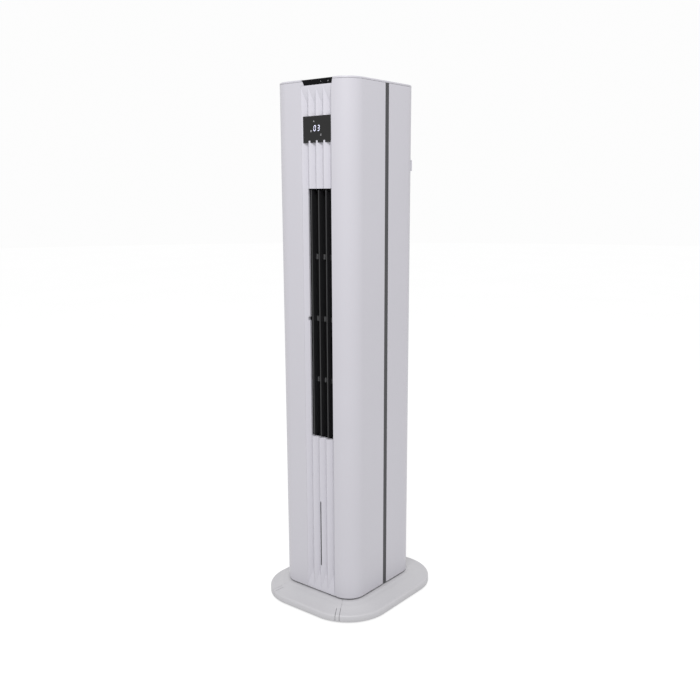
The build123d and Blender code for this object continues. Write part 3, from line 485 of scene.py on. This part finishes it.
def strip_slot():
    """The cutters for the strip's slot and for the control panel's lip above it."""
    top = STRIP_HIGH[2]
    slot_low = (STRIP_LOW[0] - SEAM, -FAR, UNDERNEATH)
    slot_high = (STRIP_HIGH[0] + SEAM, FRONT + SLOT_DEPTH, top + SEAM)
    panel_top = SHELL_TOP + PANEL_OVERHANG
    lip = [
        (PANEL_FOOT[0] - SEAM, top), (PANEL_FOOT[1] + SEAM, top),
        (PANEL_HIGH[0] + SEAM, panel_top), (PANEL_LOW[0] - SEAM, panel_top),
    ]
    return [block("slot", slot_low, slot_high), lying("notch", lip, -FAR, FRONT + SLOT_DEPTH)]


def bridge(low, high):
    """A plate behind the strip, with an arm at each end that meets the wing."""
    back = STRIP_HIGH[1] + SEAM
    low_x, high_x = STRIP_LOW[0] - BRIDGE_OVERLAP, STRIP_HIGH[0] + BRIDGE_OVERLAP
    solids = [block("span", (low_x, back, low), (high_x, back + WALL, high))]
    for x in (low_x, high_x - ARM_WIDTH):
        corner = (x + ARM_WIDTH, back + WALL / 2, high - ARM_INSET)
        solids.append(block("arm", (x, FRONT + ARM_FRONT, low + ARM_INSET), corner))
    return solids


def front_wings():
    """The front shell: two wings, tied behind the grooved strip."""
    shell = tower_wall("front_wings")
    behind = block("behind", (-FAR, FRONT_HIGH[1], UNDERNEATH), (FAR, FAR, OVERHEAD))
    combine(shell, [behind, *strip_slot()])
    for low, high in BRIDGES:
        combine(shell, bridge(low, high), "UNION")
    jamb_low = (OUTLET_X[1], FRONT, OUTLET_Z[0] + SEAM)
    jamb_high = (STRIP_HIGH[0] + SEAM + JAMB_OVERLAP, STRIP_HIGH[1] - SEAM, OUTLET_Z[1] - SEAM)
    combine(shell, [block("jamb", jamb_low, jamb_high)], "UNION")
    soften(shell, SHELL_EDGE)
    return dress(shell, "tower", WHITE, ["front_shell"])


def rear_wall():
    """The rear shell with its bays for the grille, the tank's face and the handle."""
    shell = tower_wall("rear_wall")
    cutters = [block("ahead", (-FAR, -FAR, UNDERNEATH), (FAR, REAR_LOW[1], OVERHEAD))]
    bays = (
        ("grille bay", FAR, GRILLE_LOW[2] - BAY_GAP, GRILLE_HIGH[2] + BAY_GAP),
        ("tank bay", FAR, TANK_LOW[2] - BAY_GAP, TANK_HIGH[2] + BAY_GAP),
        ("handle", HANDLE_HALF, CUP_LOW[2] + HANDLE_RIM, CUP_HIGH[2] - HANDLE_RIM),
    )
    for name, half, low, high in bays:
        cutters.append(block(name, (-half, BAY_FRONT, low), (half, FAR, high)))
    inlet_low, inlet_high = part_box("cord_inlet")
    inlet = (0.0, (inlet_low[2] + inlet_high[2]) / 2)
    cutters.append(lying("inlet hole", disc(inlet, INLET_RADIUS), BAY_FRONT, FAR))
    for x in (-SCREW_SIDE, SCREW_SIDE):
        for z in (inlet[1], SCREW_TOP):
            cutters.append(lying("screw hole", disc((x, z), SCREW_RADIUS), BAY_FRONT, FAR))
    combine(shell, cutters)
    soften(shell, REAR_EDGE)
    return dress(shell, "tower", WHITE, ["rear_shell"])


def cover_plate():
    """The top cover: a thin plate with a rounded upper edge."""
    low, high = COVER_LOW[2], COVER_HIGH[2]
    levels = [(COVER_CHAMFER, low), (0.0, low + COVER_CHAMFER)]
    for step in range(COVER_STEPS + 1):
        turn = radians(90 * step / COVER_STEPS)
        levels.append((COVER_EDGE * (1 - cos(turn)), high - COVER_EDGE + COVER_EDGE * sin(turn)))
    rings = [[(x, y, z) for x, y in tower_plan(inset)] for inset, z in levels]
    plate = stacked("cover_plate", rings)
    opening_low = (PANEL_LOW[0] - SEAM, -FAR, SHELL_TOP - CLEAR)
    opening_high = (PANEL_HIGH[0] + SEAM, PANEL_HIGH[1] + SEAM, OVERHEAD)
    combine(plate, [block("opening", opening_low, opening_high)])
    soften(plate, COVER_CHAMFER, segments=2, angle=50)
    return dress(plate, "tower", WHITE, ["top_cover"])


# ---- grooved strip -------------------------------------------------------------------
STRIP_EDGE = 0.5 * MM
DISPLAY_SKIRT = 4 * MM
WINDOW_RIM = 3 * MM
OVERLAP = 0.1 * MM

# The faces of one groove's stretch of the strip, by the numbers of its fourteen points.
GROOVE_FACES = (
    (0, 1, 3, 2), (2, 3, 4), (2, 4, 5, 6), (4, 3, 7, 5), (6, 5, 7), (6, 7, 9, 8),
    (8, 9, 13, 12), (0, 10, 11, 1), (10, 12, 13, 11),
)
LEFT_END = (0, 2, 6, 8, 12, 10)
RIGHT_END = (1, 11, 13, 9, 7, 3)


def groove_points(left, right):
    """The points of one groove, from its foot up, then those of the flat back."""
    front, back = STRIP_LOW[1], STRIP_HIGH[1]
    low, high = STRIP_LOW[2], STRIP_HIGH[2]
    middle, deep = (left + right) / 2, front + GROOVE_DEPTH
    below = [(x, front, z) for z in (low, GROOVE_FOOT[1]) for x in (left, right)]
    floor = [(middle, deep, z) for z in (GROOVE_FOOT[0], GROOVE_TOP[0])]
    above = [(x, front, z) for z in (GROOVE_TOP[1], high) for x in (left, right)]
    behind = [(x, back, z) for z in (low, high) for x in (left, right)]
    return below + floor + above + behind


def strip_openings():
    """The cutters for the outlet, the display and the water-level slit."""
    ahead, behind = STRIP_LOW[1] - CLEAR, STRIP_HIGH[1] + CLEAR
    left, right = GLASS_LOW[0], GLASS_HIGH[0]
    bottom, top = GLASS_LOW[2], GLASS_HIGH[2]
    glass_front, glass_back = GLASS_LOW[1], GLASS_HIGH[1]
    shown = bottom + DISPLAY_SKIRT
    spans = (
        ("outlet", (OUTLET_X[0], ahead, OUTLET_Z[0]), (FAR, behind, OUTLET_Z[1])),
        (
            "notch", (OUTLET_X[0] - NOTCH_REACH, ahead, BAR_MIDDLE - NOTCH_HALF),
            (0, behind, BAR_MIDDLE + NOTCH_HALF),
        ),
        ("recess", (left, ahead, shown), (right, glass_front, top)),
        ("pocket", (left, glass_front - OVERLAP, bottom), (right, glass_back, top)),
        (
            "window", (left + WINDOW_RIM, glass_back - OVERLAP, shown),
            (right - WINDOW_RIM, behind, top - WINDOW_RIM),
        ),
        (
            "level", (LEVEL_X - LEVEL_HALF, ahead, LEVEL_Z[0]),
            (LEVEL_X + LEVEL_HALF, behind, LEVEL_Z[1]),
        ),
    )
    return [block(*span) for span in spans]


def grooved_strip():
    """The front strip: four V grooves whose ends slope out to the front plane."""
    verts, faces = [], []
    for groove in range(GROOVES):
        left = STRIP_LOW[0] + groove * GROOVE_PITCH
        first = len(verts)
        verts += groove_points(left, left + GROOVE_PITCH)
        shape = list(GROOVE_FACES)
        if groove == 0:
            shape.append(LEFT_END)
        if groove == GROOVES - 1:
            shape.append(RIGHT_END)
        faces += [tuple(first + i for i in face) for face in shape]
    strip = add_mesh("grooved_strip", verts, faces)
    combine(strip, strip_openings())
    soften(strip, STRIP_EDGE, angle=25)
    return dress(strip, "tower", STRIP_WHITE, ["fascia"])


# ---- marks and symbols ---------------------------------------------------------------
TIP_GAP = 0.25 * MM


def bar_outline(start, end, stroke):
    """A bar with pointed ends, a little short of both places."""
    start, end = Vector(start), Vector(end)
    along = (end - start).normalized()
    across = Vector((-along.y, along.x)) * stroke / 2
    tip = along * stroke / 2
    start, end = start + along * TIP_GAP, end - along * TIP_GAP
    upper = (start, start + tip + across, end - tip + across)
    lower = (end, end - tip - across, start + tip - across)
    return [tuple(point) for point in upper + lower]


def ring_outlines(centre, radius, stroke, start=0, sweep=360, steps=20):
    """A ring, or part of one, as small four-sided pieces."""
    outlines = []
    for i in range(steps):
        corners = []
        inner = radius - stroke
        for turn, reach in ((i, inner), (i + 1, inner), (i + 1, radius), (i, radius)):
            angle = radians(start + sweep * turn / steps)
            corners.append((centre[0] + reach * cos(angle), centre[1] + reach * sin(angle)))
        outlines.append(corners)
    return outlines


def spokes(centre, radius, stroke, count):
    """Bars through a centre, for a snowflake or a sun."""
    outlines = []
    for i in range(count):
        turn = pi * i / count
        arm = Vector((cos(turn), sin(turn))) * radius
        side = Vector((-sin(turn), cos(turn))) * stroke / 2
        middle = Vector(centre)
        near, far = middle - arm, middle + arm
        corners = (near - side, far - side, far + side, near + side)
        outlines.append([tuple(point) for point in corners])
    return outlines


# ---- display -------------------------------------------------------------------------
DIGIT_HEIGHT = 11.0 * MM
DIGIT_WIDTH = 5.6 * MM
DIGIT_LEAN = 0.09
DIGITS = (("0", 7.6 * MM), ("3", 17.3 * MM))
DIGITS_FOOT = 1002.6 * MM
STROKE = 1.2 * MM
SEGMENTS = {
    "a": ((0, 2), (1, 2)), "b": ((1, 2), (1, 1)), "c": ((1, 1), (1, 0)), "d": ((0, 0), (1, 0)),
    "e": ((0, 1), (0, 0)), "f": ((0, 2), (0, 1)), "g": ((0, 1), (1, 1)),
}
SHOWN = {"0": "abcdef", "3": "abgcd"}
MARK_DEPTH = 0.06 * MM
GLASS_EDGE = 0.35 * MM
SNOW_PLACE = (8.9 * MM, 1021 * MM)
DIAL_PLACE = (1.6 * MM, 1003 * MM)
ARC_PLACE = (26.7 * MM, 995.2 * MM)
DASH_PLACE = (26.7 * MM, 995.6 * MM)


def flat_marks(name, outlines, y):
    """Thin raised marks that face the front."""
    return prisms(name, outlines, facing_front, y, y - MARK_DEPTH)


def digit_outlines(digit, left):
    """The lit segments of one digit, leaning a little to the right."""
    outlines = []
    for segment in SHOWN[digit]:
        ends = []
        for column, row in SEGMENTS[segment]:
            z = row * (DIGIT_HEIGHT - STROKE) / 2 + STROKE / 2
            x = column * (DIGIT_WIDTH - STROKE) + STROKE / 2 + z * DIGIT_LEAN
            ends.append((left + x, DIGITS_FOOT + z))
        outlines.append(bar_outline(*ends, STROKE))
    return outlines


def display_glass():
    """The gloss window."""
    outline = rectangle(GLASS_LOW[0], GLASS_LOW[2], GLASS_HIGH[0], GLASS_HIGH[2])
    glass = lying("display_glass", outline, GLASS_LOW[1], GLASS_HIGH[1])
    soften(glass, GLASS_EDGE)
    dress(glass, "tower", GLASS, ["display_window"])


def display_marks():
    """The two lit digits and three small symbols."""
    y = GLASS_LOW[1]
    outlines = [outline for digit, left in DIGITS for outline in digit_outlines(digit, left)]
    dress(flat_marks("lit_digits", outlines, y), "tower", DIGIT)
    symbols = spokes(SNOW_PLACE, 1.7 * MM, 0.5 * MM, 3)
    symbols += ring_outlines(DIAL_PLACE, 1.8 * MM, 0.6 * MM)
    symbols += spokes(DIAL_PLACE, 0.9 * MM, 0.6 * MM, 2)
    symbols += ring_outlines(ARC_PLACE, 1.7 * MM, 0.55 * MM, 20, 300)
    symbols += spokes(DASH_PLACE, 0.8 * MM, 0.5 * MM, 1)
    dress(flat_marks("display_symbols", symbols, y), "tower", MARK)


# ---- control panel -------------------------------------------------------------------
KEYS = ("power", "mode", "speed", "swing", "timer", "cool")
KEY_HOLE = 6.75 * MM
LIP_DEPTH = 2.6 * MM
LIP_ROLL = 2.5 * MM
ROLL_STEPS = 8
PANEL_UNDERSIDE = 1093 * MM
PANEL_EDGE = 0.4 * MM
PLUS_PLACE = (27.6 * MM, 1093.8 * MM)
RING_PLACE = (46.5 * MM, 1093.2 * MM)
MARK_SINK = 0.02 * MM


def key_spot(key):
    """The middle of a key in plan."""
    low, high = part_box("button_" + key)
    return ((low[0] + high[0]) / 2, (low[1] + high[1]) / 2)


def panel_profile():
    """The panel seen from the side: its rolled lip in front, then the plate."""
    front, back = PANEL_LOW[1], PANEL_HIGH[1]
    low, high = PANEL_LOW[2], PANEL_HIGH[2]
    profile = [(front, low)]
    for step in range(ROLL_STEPS + 1):
        turn = radians(180 - 90 * step / ROLL_STEPS)
        y = front + LIP_ROLL + LIP_ROLL * cos(turn)
        profile.append((y, high - LIP_ROLL + LIP_ROLL * sin(turn)))
    profile += [(back, high), (back, PANEL_UNDERSIDE)]
    profile += [(front + LIP_DEPTH, PANEL_UNDERSIDE), (front + LIP_DEPTH, low)]
    return profile


def gloss_panel():
    """The gloss plate on top, whose front edge rolls down over the front face."""
    front, low, high = PANEL_LOW[1], PANEL_LOW[2], PANEL_HIGH[2]
    rings = []
    for x, foot in ((PANEL_LOW[0], PANEL_FOOT[0]), (PANEL_HIGH[0], PANEL_FOOT[1])):
        ring = []
        for y, z in panel_profile():
            slant = (high - z) / (high - low) if y <= front + LIP_DEPTH else 0
            ring.append((x + (foot - x) * slant, y, z))
        rings.append(ring)
    panel = stacked("gloss_panel", rings)
    wells = []
    for key in KEYS:
        outline = disc(key_spot(key), KEY_HOLE, steps=40)
        wells.append(raised("hole", outline, PANEL_UNDERSIDE - CLEAR, high + CLEAR))
    combine(panel, wells)
    soften(panel, PANEL_EDGE)
    dress(panel, "tower", GLOSS, ["control_panel"])
    marks = spokes(PLUS_PLACE, 0.9 * MM, 0.45 * MM, 2)
    marks += ring_outlines(RING_PLACE, 1.1 * MM, 0.4 * MM)
    dress(flat_marks("panel_marks", marks, front + MARK_SINK), "tower", MARK)


# ---- keys ----------------------------------------------------------------------------
KEY_RADIUS = 6.4 * MM
KEY_FLANGE = 7.6 * MM
KEY_FLANGE_TOP = 2.4 * MM
KEY_SINK = 0.1 * MM
SYMBOL_SIZE = 2.6 * MM
SYMBOL_STROKE = 0.5 * MM
RAY_START = 0.65
SYMBOL_TOP = 0.02 * MM
SYMBOL_FOOT = 0.20 * MM


def sun(x, y):
    """A small ring with eight short rays."""
    rays = []
    for turn in [pi * i / 4 for i in range(8)]:
        along, up = SYMBOL_SIZE * cos(turn), SYMBOL_SIZE * sin(turn)
        root = (x + along * RAY_START, y + up * RAY_START)
        rays.append(bar_outline(root, (x + along, y + up), SYMBOL_STROKE))
    return ring_outlines((x, y), 1.3 * MM, SYMBOL_STROKE) + rays


def steps_up(x, y):
    """Three bars, each taller than the one before."""
    bars = ((-2.2 * MM, -0.6 * MM), (-0.45 * MM, 0.6 * MM), (1.3 * MM, 2 * MM))
    return [rectangle(x + left, y - 2 * MM, x + left + 0.9 * MM, y + top) for left, top in bars]


def hand(x, y, length):
    """A thin upright bar from the middle."""
    return rectangle(x - SYMBOL_STROKE / 2, y, x + SYMBOL_STROKE / 2, y + length)


def key_symbol(key, spot):
    """A generic symbol for each key."""
    x, y = spot
    if key == "power":
        arc = ring_outlines(spot, SYMBOL_SIZE, SYMBOL_STROKE, 120, 300)
        return [*arc, hand(x, y, SYMBOL_SIZE)]
    if key == "mode":
        return sun(x, y)
    if key == "speed":
        return steps_up(x, y)
    if key == "swing":
        arc = ring_outlines(spot, SYMBOL_SIZE, SYMBOL_STROKE, 210, 120)
        return arc + spokes((x, y + 1 * MM), 1.6 * MM, SYMBOL_STROKE, 1)
    if key == "timer":
        return [*ring_outlines(spot, SYMBOL_SIZE, SYMBOL_STROKE), hand(x, y, 1.7 * MM)]
    return spokes(spot, SYMBOL_SIZE, SYMBOL_STROKE, 3)


def key_levels(low, top):
    """The radius and height of each ring of a key: flange, wall, rounded edge and dish."""
    flange_top = low + KEY_FLANGE_TOP
    return (
        (KEY_FLANGE, low), (KEY_FLANGE, flange_top),
        (KEY_RADIUS, flange_top), (KEY_RADIUS, top - 0.8 * MM),
        (KEY_RADIUS - 0.25 * MM, top - 0.25 * MM), (KEY_RADIUS - 0.8 * MM, top),
        (KEY_RADIUS - 1.4 * MM, top - 0.04 * MM), (KEY_RADIUS * 0.5, top - 0.22 * MM),
        (0.6 * MM, top - 0.25 * MM),
    )


def key_pieces():
    """Round keys with a shallow dish and a pale symbol."""
    for key in KEYS:
        low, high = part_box("button_" + key)
        spot = key_spot(key)
        top = high[2] - KEY_SINK
        rings = []
        for radius, z in key_levels(low[2], top):
            rings.append([(x, y, z) for x, y in disc(spot, radius, steps=48)])
        cap = stacked("key_" + key, rings)
        for polygon in cap.data.polygons:
            polygon.use_smooth = True
        cap.modifiers.new("weights", "WEIGHTED_NORMAL")
        dress(cap, "key_" + key, KEY, ["button_" + key])
        outlines = key_symbol(key, spot)
        lower, upper = top - SYMBOL_FOOT, top - SYMBOL_TOP
        symbol = prisms("symbol_" + key, outlines, facing_up, lower, upper)
        dress(symbol, "key_" + key, MARK)


# ---- vanes ---------------------------------------------------------------------------
PIVOT_Y = -100 * MM
CRANK_Y = -84 * MM
PIN_RADIUS = 1.3 * MM
BLADE_Z = (386 * MM, 890.5 * MM)
CRANK_Z = (374.5 * MM, 388 * MM)
BAR_CLEAR = 6.2 * MM
END_STEPS = 12
BAR_FRONT = PIVOT_Y - 5 * MM
VANE_EDGE = 0.25 * MM


def blade_outline(x, half, front, rear):
    """A vane in plan: flat sides and half-round ends."""
    outline = []
    for centre, start in ((front + half, 180), (rear - half, 0)):
        for i in range(END_STEPS + 1):
            turn = radians(start + 180 * i / END_STEPS)
            outline.append((x + half * cos(turn), centre + half * sin(turn)))
    return outline


def blade_pieces():
    """Each vane: a slim rounded blade, notched at the cross bars, with its pins."""
    for side in ("left", "middle", "right"):
        low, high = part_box("vane_" + side)
        x = (low[0] + high[0]) / 2
        half = (high[0] - low[0]) / 2
        blade = raised("blade_" + side, blade_outline(x, half, low[1], high[1]), *BLADE_Z)
        notches = []
        for z in BARS:
            corner = (x + CLEAR, high[1] + CLEAR, z + BAR_CLEAR)
            notches.append(block("notch", (x - CLEAR, BAR_FRONT, z - BAR_CLEAR), corner))
        combine(blade, notches)
        pins = [
            raised("pin", disc((x, PIVOT_Y), PIN_RADIUS, steps=20), low[2], high[2]),
            raised("crank", disc((x, CRANK_Y), PIN_RADIUS, steps=20), *CRANK_Z),
        ]
        combine(blade, pins, "UNION")
        soften(blade, VANE_EDGE, segments=2, angle=40)
        dress(blade, "vane_" + side + "_blade", BLACK, ["vane_" + side])


# ---- base ----------------------------------------------------------------------------
BASE_HALF = BASE_HIGH[0]
BASE_BACK = BASE_HIGH[1]
BASE_CORNER = 99 * MM
BASE_CHAMFER = 0.6 * MM
RIM_TOP = 18 * MM
RIM_ROLL = 4 * MM
RIM_STEPS = 6
RIM_STEP_TURN = 13      # degrees

# From the rim a slope rises to a shoulder, and the shoulder to a crown round the tower.
SHOULDER_OUT = 16 * MM
SLOPE_RISE = 9 * MM
SLOPE_STEPS = 8
SLOPE_STRAIGHT = 0.62
SLOPE_CURVED = 0.38
CROWN_OUT = 4 * MM
CROWN_RISE = 4.5 * MM
CROWN_STEPS = 4
CROWN_POWER = 1.3
NECK_IN = 13 * MM
NECK_TOP = 38 * MM
BASE_EDGE = 0.25 * MM

# The seams of the front segment, and the two slits beside each of them.
SEAM_FOOT = Vector((70 * MM, -112 * MM))
SEAM_RIM = Vector((106 * MM, -175 * MM))
SEGMENT_TOP = 31.5 * MM
CLIP_WIDTH = 9 * MM
SLIT_LENGTH = 42 * MM
SLIT_WIDTH = 0.9 * MM


def base_plan(inset):
    """The base's outline, smaller all round by the inset."""
    low, high = -BASE_BACK + inset, BASE_BACK - inset
    return rounded_plan(BASE_HALF - inset, low, high, BASE_CORNER - inset)


def blended(first, second, share):
    """A ring part way from one outline to another."""
    return [
        (a[0] + (b[0] - a[0]) * share, a[1] + (b[1] - a[1]) * share)
        for a, b in zip(first, second)
    ]


def base_solid(name):
    """The whole base: a low rim, a gentle slope and a shoulder under the tower."""
    low = BASE_LOW[2]
    rings = [
        (base_plan(BASE_CHAMFER), low), (base_plan(0), low + BASE_CHAMFER),
        (base_plan(0), RIM_TOP - RIM_ROLL),
    ]
    for step in range(1, RIM_STEPS + 1):
        turn = radians(RIM_STEP_TURN * step)
        z = RIM_TOP - RIM_ROLL + RIM_ROLL * sin(turn)
        rings.append((base_plan(RIM_ROLL * (1 - cos(turn))), z))
    outer, shoulder = base_plan(RIM_ROLL), tower_plan(-SHOULDER_OUT)
    for step in range(1, SLOPE_STEPS + 1):
        share = step / SLOPE_STEPS
        rise = SLOPE_RISE * (SLOPE_STRAIGHT * share + SLOPE_CURVED * share * share)
        rings.append((blended(outer, shoulder, share), RIM_TOP + rise))
    crown = tower_plan(-CROWN_OUT)
    for step in range(1, CROWN_STEPS + 1):
        share = step / CROWN_STEPS
        z = RIM_TOP + SLOPE_RISE + CROWN_RISE * share ** CROWN_POWER
        rings.append((blended(shoulder, crown, share), z))
    neck = tower_plan(NECK_IN)
    rings += [(neck, RIM_TOP + SLOPE_RISE + CROWN_RISE), (neck, NECK_TOP)]
    return stacked(name, [[(x, y, z) for x, y in ring] for ring, z in rings])


def front_wedge(name, grow):
    """The plan of the front segment, between its two mitred seams."""
    inner, outer = SEAM_FOOT.x + grow, SEAM_RIM.x + grow
    foot = SEAM_FOOT.y + grow
    outline = [(-outer, SEAM_RIM.y), (outer, SEAM_RIM.y), (inner, foot), (-inner, foot)]
    return raised(name, outline, -CLEAR, SEGMENT_TOP + 2 * grow)


def rim_slits():
    """Two slits at each seam, which leave a springy clip between them."""
    along = (SEAM_RIM - SEAM_FOOT).normalized()
    across = Vector((-along.y, along.x))
    side = across * SLIT_WIDTH / 2
    slits = []
    for shift in (0, -CLIP_WIDTH):
        end = SEAM_RIM + across * shift
        start = end - along * SLIT_LENGTH
        corners = (start - side, end - side, end + side, start + side)
        for mirror in (1, -1):
            outline = [(mirror * point.x, point.y) for point in corners]
            slits.append(raised("slit", outline, -CLEAR, SEGMENT_TOP))
    return slits


def base_pieces():
    """The skirt round the tower's foot and the nose that closes it in front."""
    skirt = base_solid("base_skirt")
    combine(skirt, [front_wedge("wedge", SEAM), *rim_slits()])
    soften(skirt, BASE_EDGE, segments=2, angle=45)
    dress(skirt, "tower", WHITE_BASE, ["base_cover"])
    nose = base_solid("base_nose")
    combine(nose, rim_slits())
    combine(nose, [front_wedge("wedge", 0)], "INTERSECT")
    soften(nose, BASE_EDGE, segments=2, angle=45)
    dress(nose, "tower", WHITE_BASE, ["base_front_segment"])


# ---- studio and camera ---------------------------------------------------------------
ROOM_LIGHT = 0.98
KEY_LIGHT_PLACE = (0.98, -1.48, 2.5)
KEY_LIGHT_TARGET = (0, 0, 0.85)
KEY_LIGHT_SIZE = 0.8
KEY_LIGHT_POWER = 40
FLOOR_RADIUS = 14.0
FLOOR_TONES = (0.29, 0.31)
FLOOR_GLOW = 0.70

# Metres and degrees, and shifts in shares of the frame.
CAMERA_PLACE = (1.1074, -1.3710, 0.8802)
CAMERA_YAW = 38.7106
CAMERA_PITCH = 12.1839
CAMERA_ROLL = -0.1554
CAMERA_LENS = 42.29
CAMERA_SENSOR = 36.0
CAMERA_SHIFT = (-0.0041, 0.0328)


def floor_plate():
    """A wide pale floor with a faint unevenness and a soft glow of its own."""
    floor = raised("floor", disc((0, 0), FLOOR_RADIUS, steps=96), -20 * MM, 0.0)
    material, nodes, links, shader = new_material("floor")
    patch = object_noise(nodes, links, 1.5)
    shade = ranged(nodes, links, patch.outputs["Fac"], *FLOOR_TONES)
    tone = nodes.new("ShaderNodeCombineColor")
    for channel in ("Red", "Green", "Blue"):
        links.new(shade, tone.inputs[channel])
    links.new(tone.outputs["Color"], shader.inputs["Base Color"])
    shader.inputs["Roughness"].default_value = 0.9
    shader.inputs["Specular IOR Level"].default_value = 0.0
    shader.inputs["Emission Color"].default_value = (1, 1, 1, 1)
    shader.inputs["Emission Strength"].default_value = FLOOR_GLOW
    floor.data.materials.append(material)


def room_light():
    """Plain white light from all round."""
    world = bpy.data.worlds.new("studio")
    bpy.context.scene.world = world
    world.use_nodes = True
    sky = world.node_tree.nodes["Background"]
    sky.inputs["Color"].default_value = (1.0, 1.0, 1.0, 1)
    sky.inputs["Strength"].default_value = ROOM_LIGHT


def key_light():
    """One soft lamp above the front, to the camera's side."""
    light = bpy.data.lights.new("key", "AREA")
    light.shape = "RECTANGLE"
    light.size = light.size_y = KEY_LIGHT_SIZE
    light.energy = KEY_LIGHT_POWER
    lamp = bpy.data.objects.new("key", light)
    lamp.location = KEY_LIGHT_PLACE
    aim = Vector(KEY_LIGHT_TARGET) - Vector(KEY_LIGHT_PLACE)
    lamp.rotation_euler = aim.to_track_quat("-Z", "Y").to_euler()
    bpy.context.scene.collection.objects.link(lamp)


def camera():
    """The view that the object is known from."""
    yaw, pitch, roll = radians(CAMERA_YAW), radians(CAMERA_PITCH), radians(CAMERA_ROLL)
    forward = Vector((-sin(yaw) * cos(pitch), cos(yaw) * cos(pitch), -sin(pitch)))
    level = Vector((cos(yaw), sin(yaw), 0))
    upright = level.cross(forward)
    right = level * cos(roll) + upright * sin(roll)
    up = upright * cos(roll) - level * sin(roll)
    lens = bpy.data.cameras.new("camera")
    lens.sensor_width = CAMERA_SENSOR
    lens.lens = CAMERA_LENS
    lens.shift_x, lens.shift_y = CAMERA_SHIFT
    view = bpy.data.objects.new("camera", lens)
    place = Matrix((right, up, -forward)).transposed().to_4x4()
    place.translation = Vector(CAMERA_PLACE)
    view.matrix_world = place
    bpy.context.scene.collection.objects.link(view)
    bpy.context.scene.camera = view


# ---- the scene -----------------------------------------------------------------------
camera()
floor_plate()
room_light()
key_light()
bpy.context.scene.view_settings.view_transform = "Standard"
finish_cad_nodes()
front_wings()
rear_wall()
cover_plate()
grooved_strip()
display_glass()
display_marks()
gloss_panel()
key_pieces()
blade_pieces()
base_pieces()
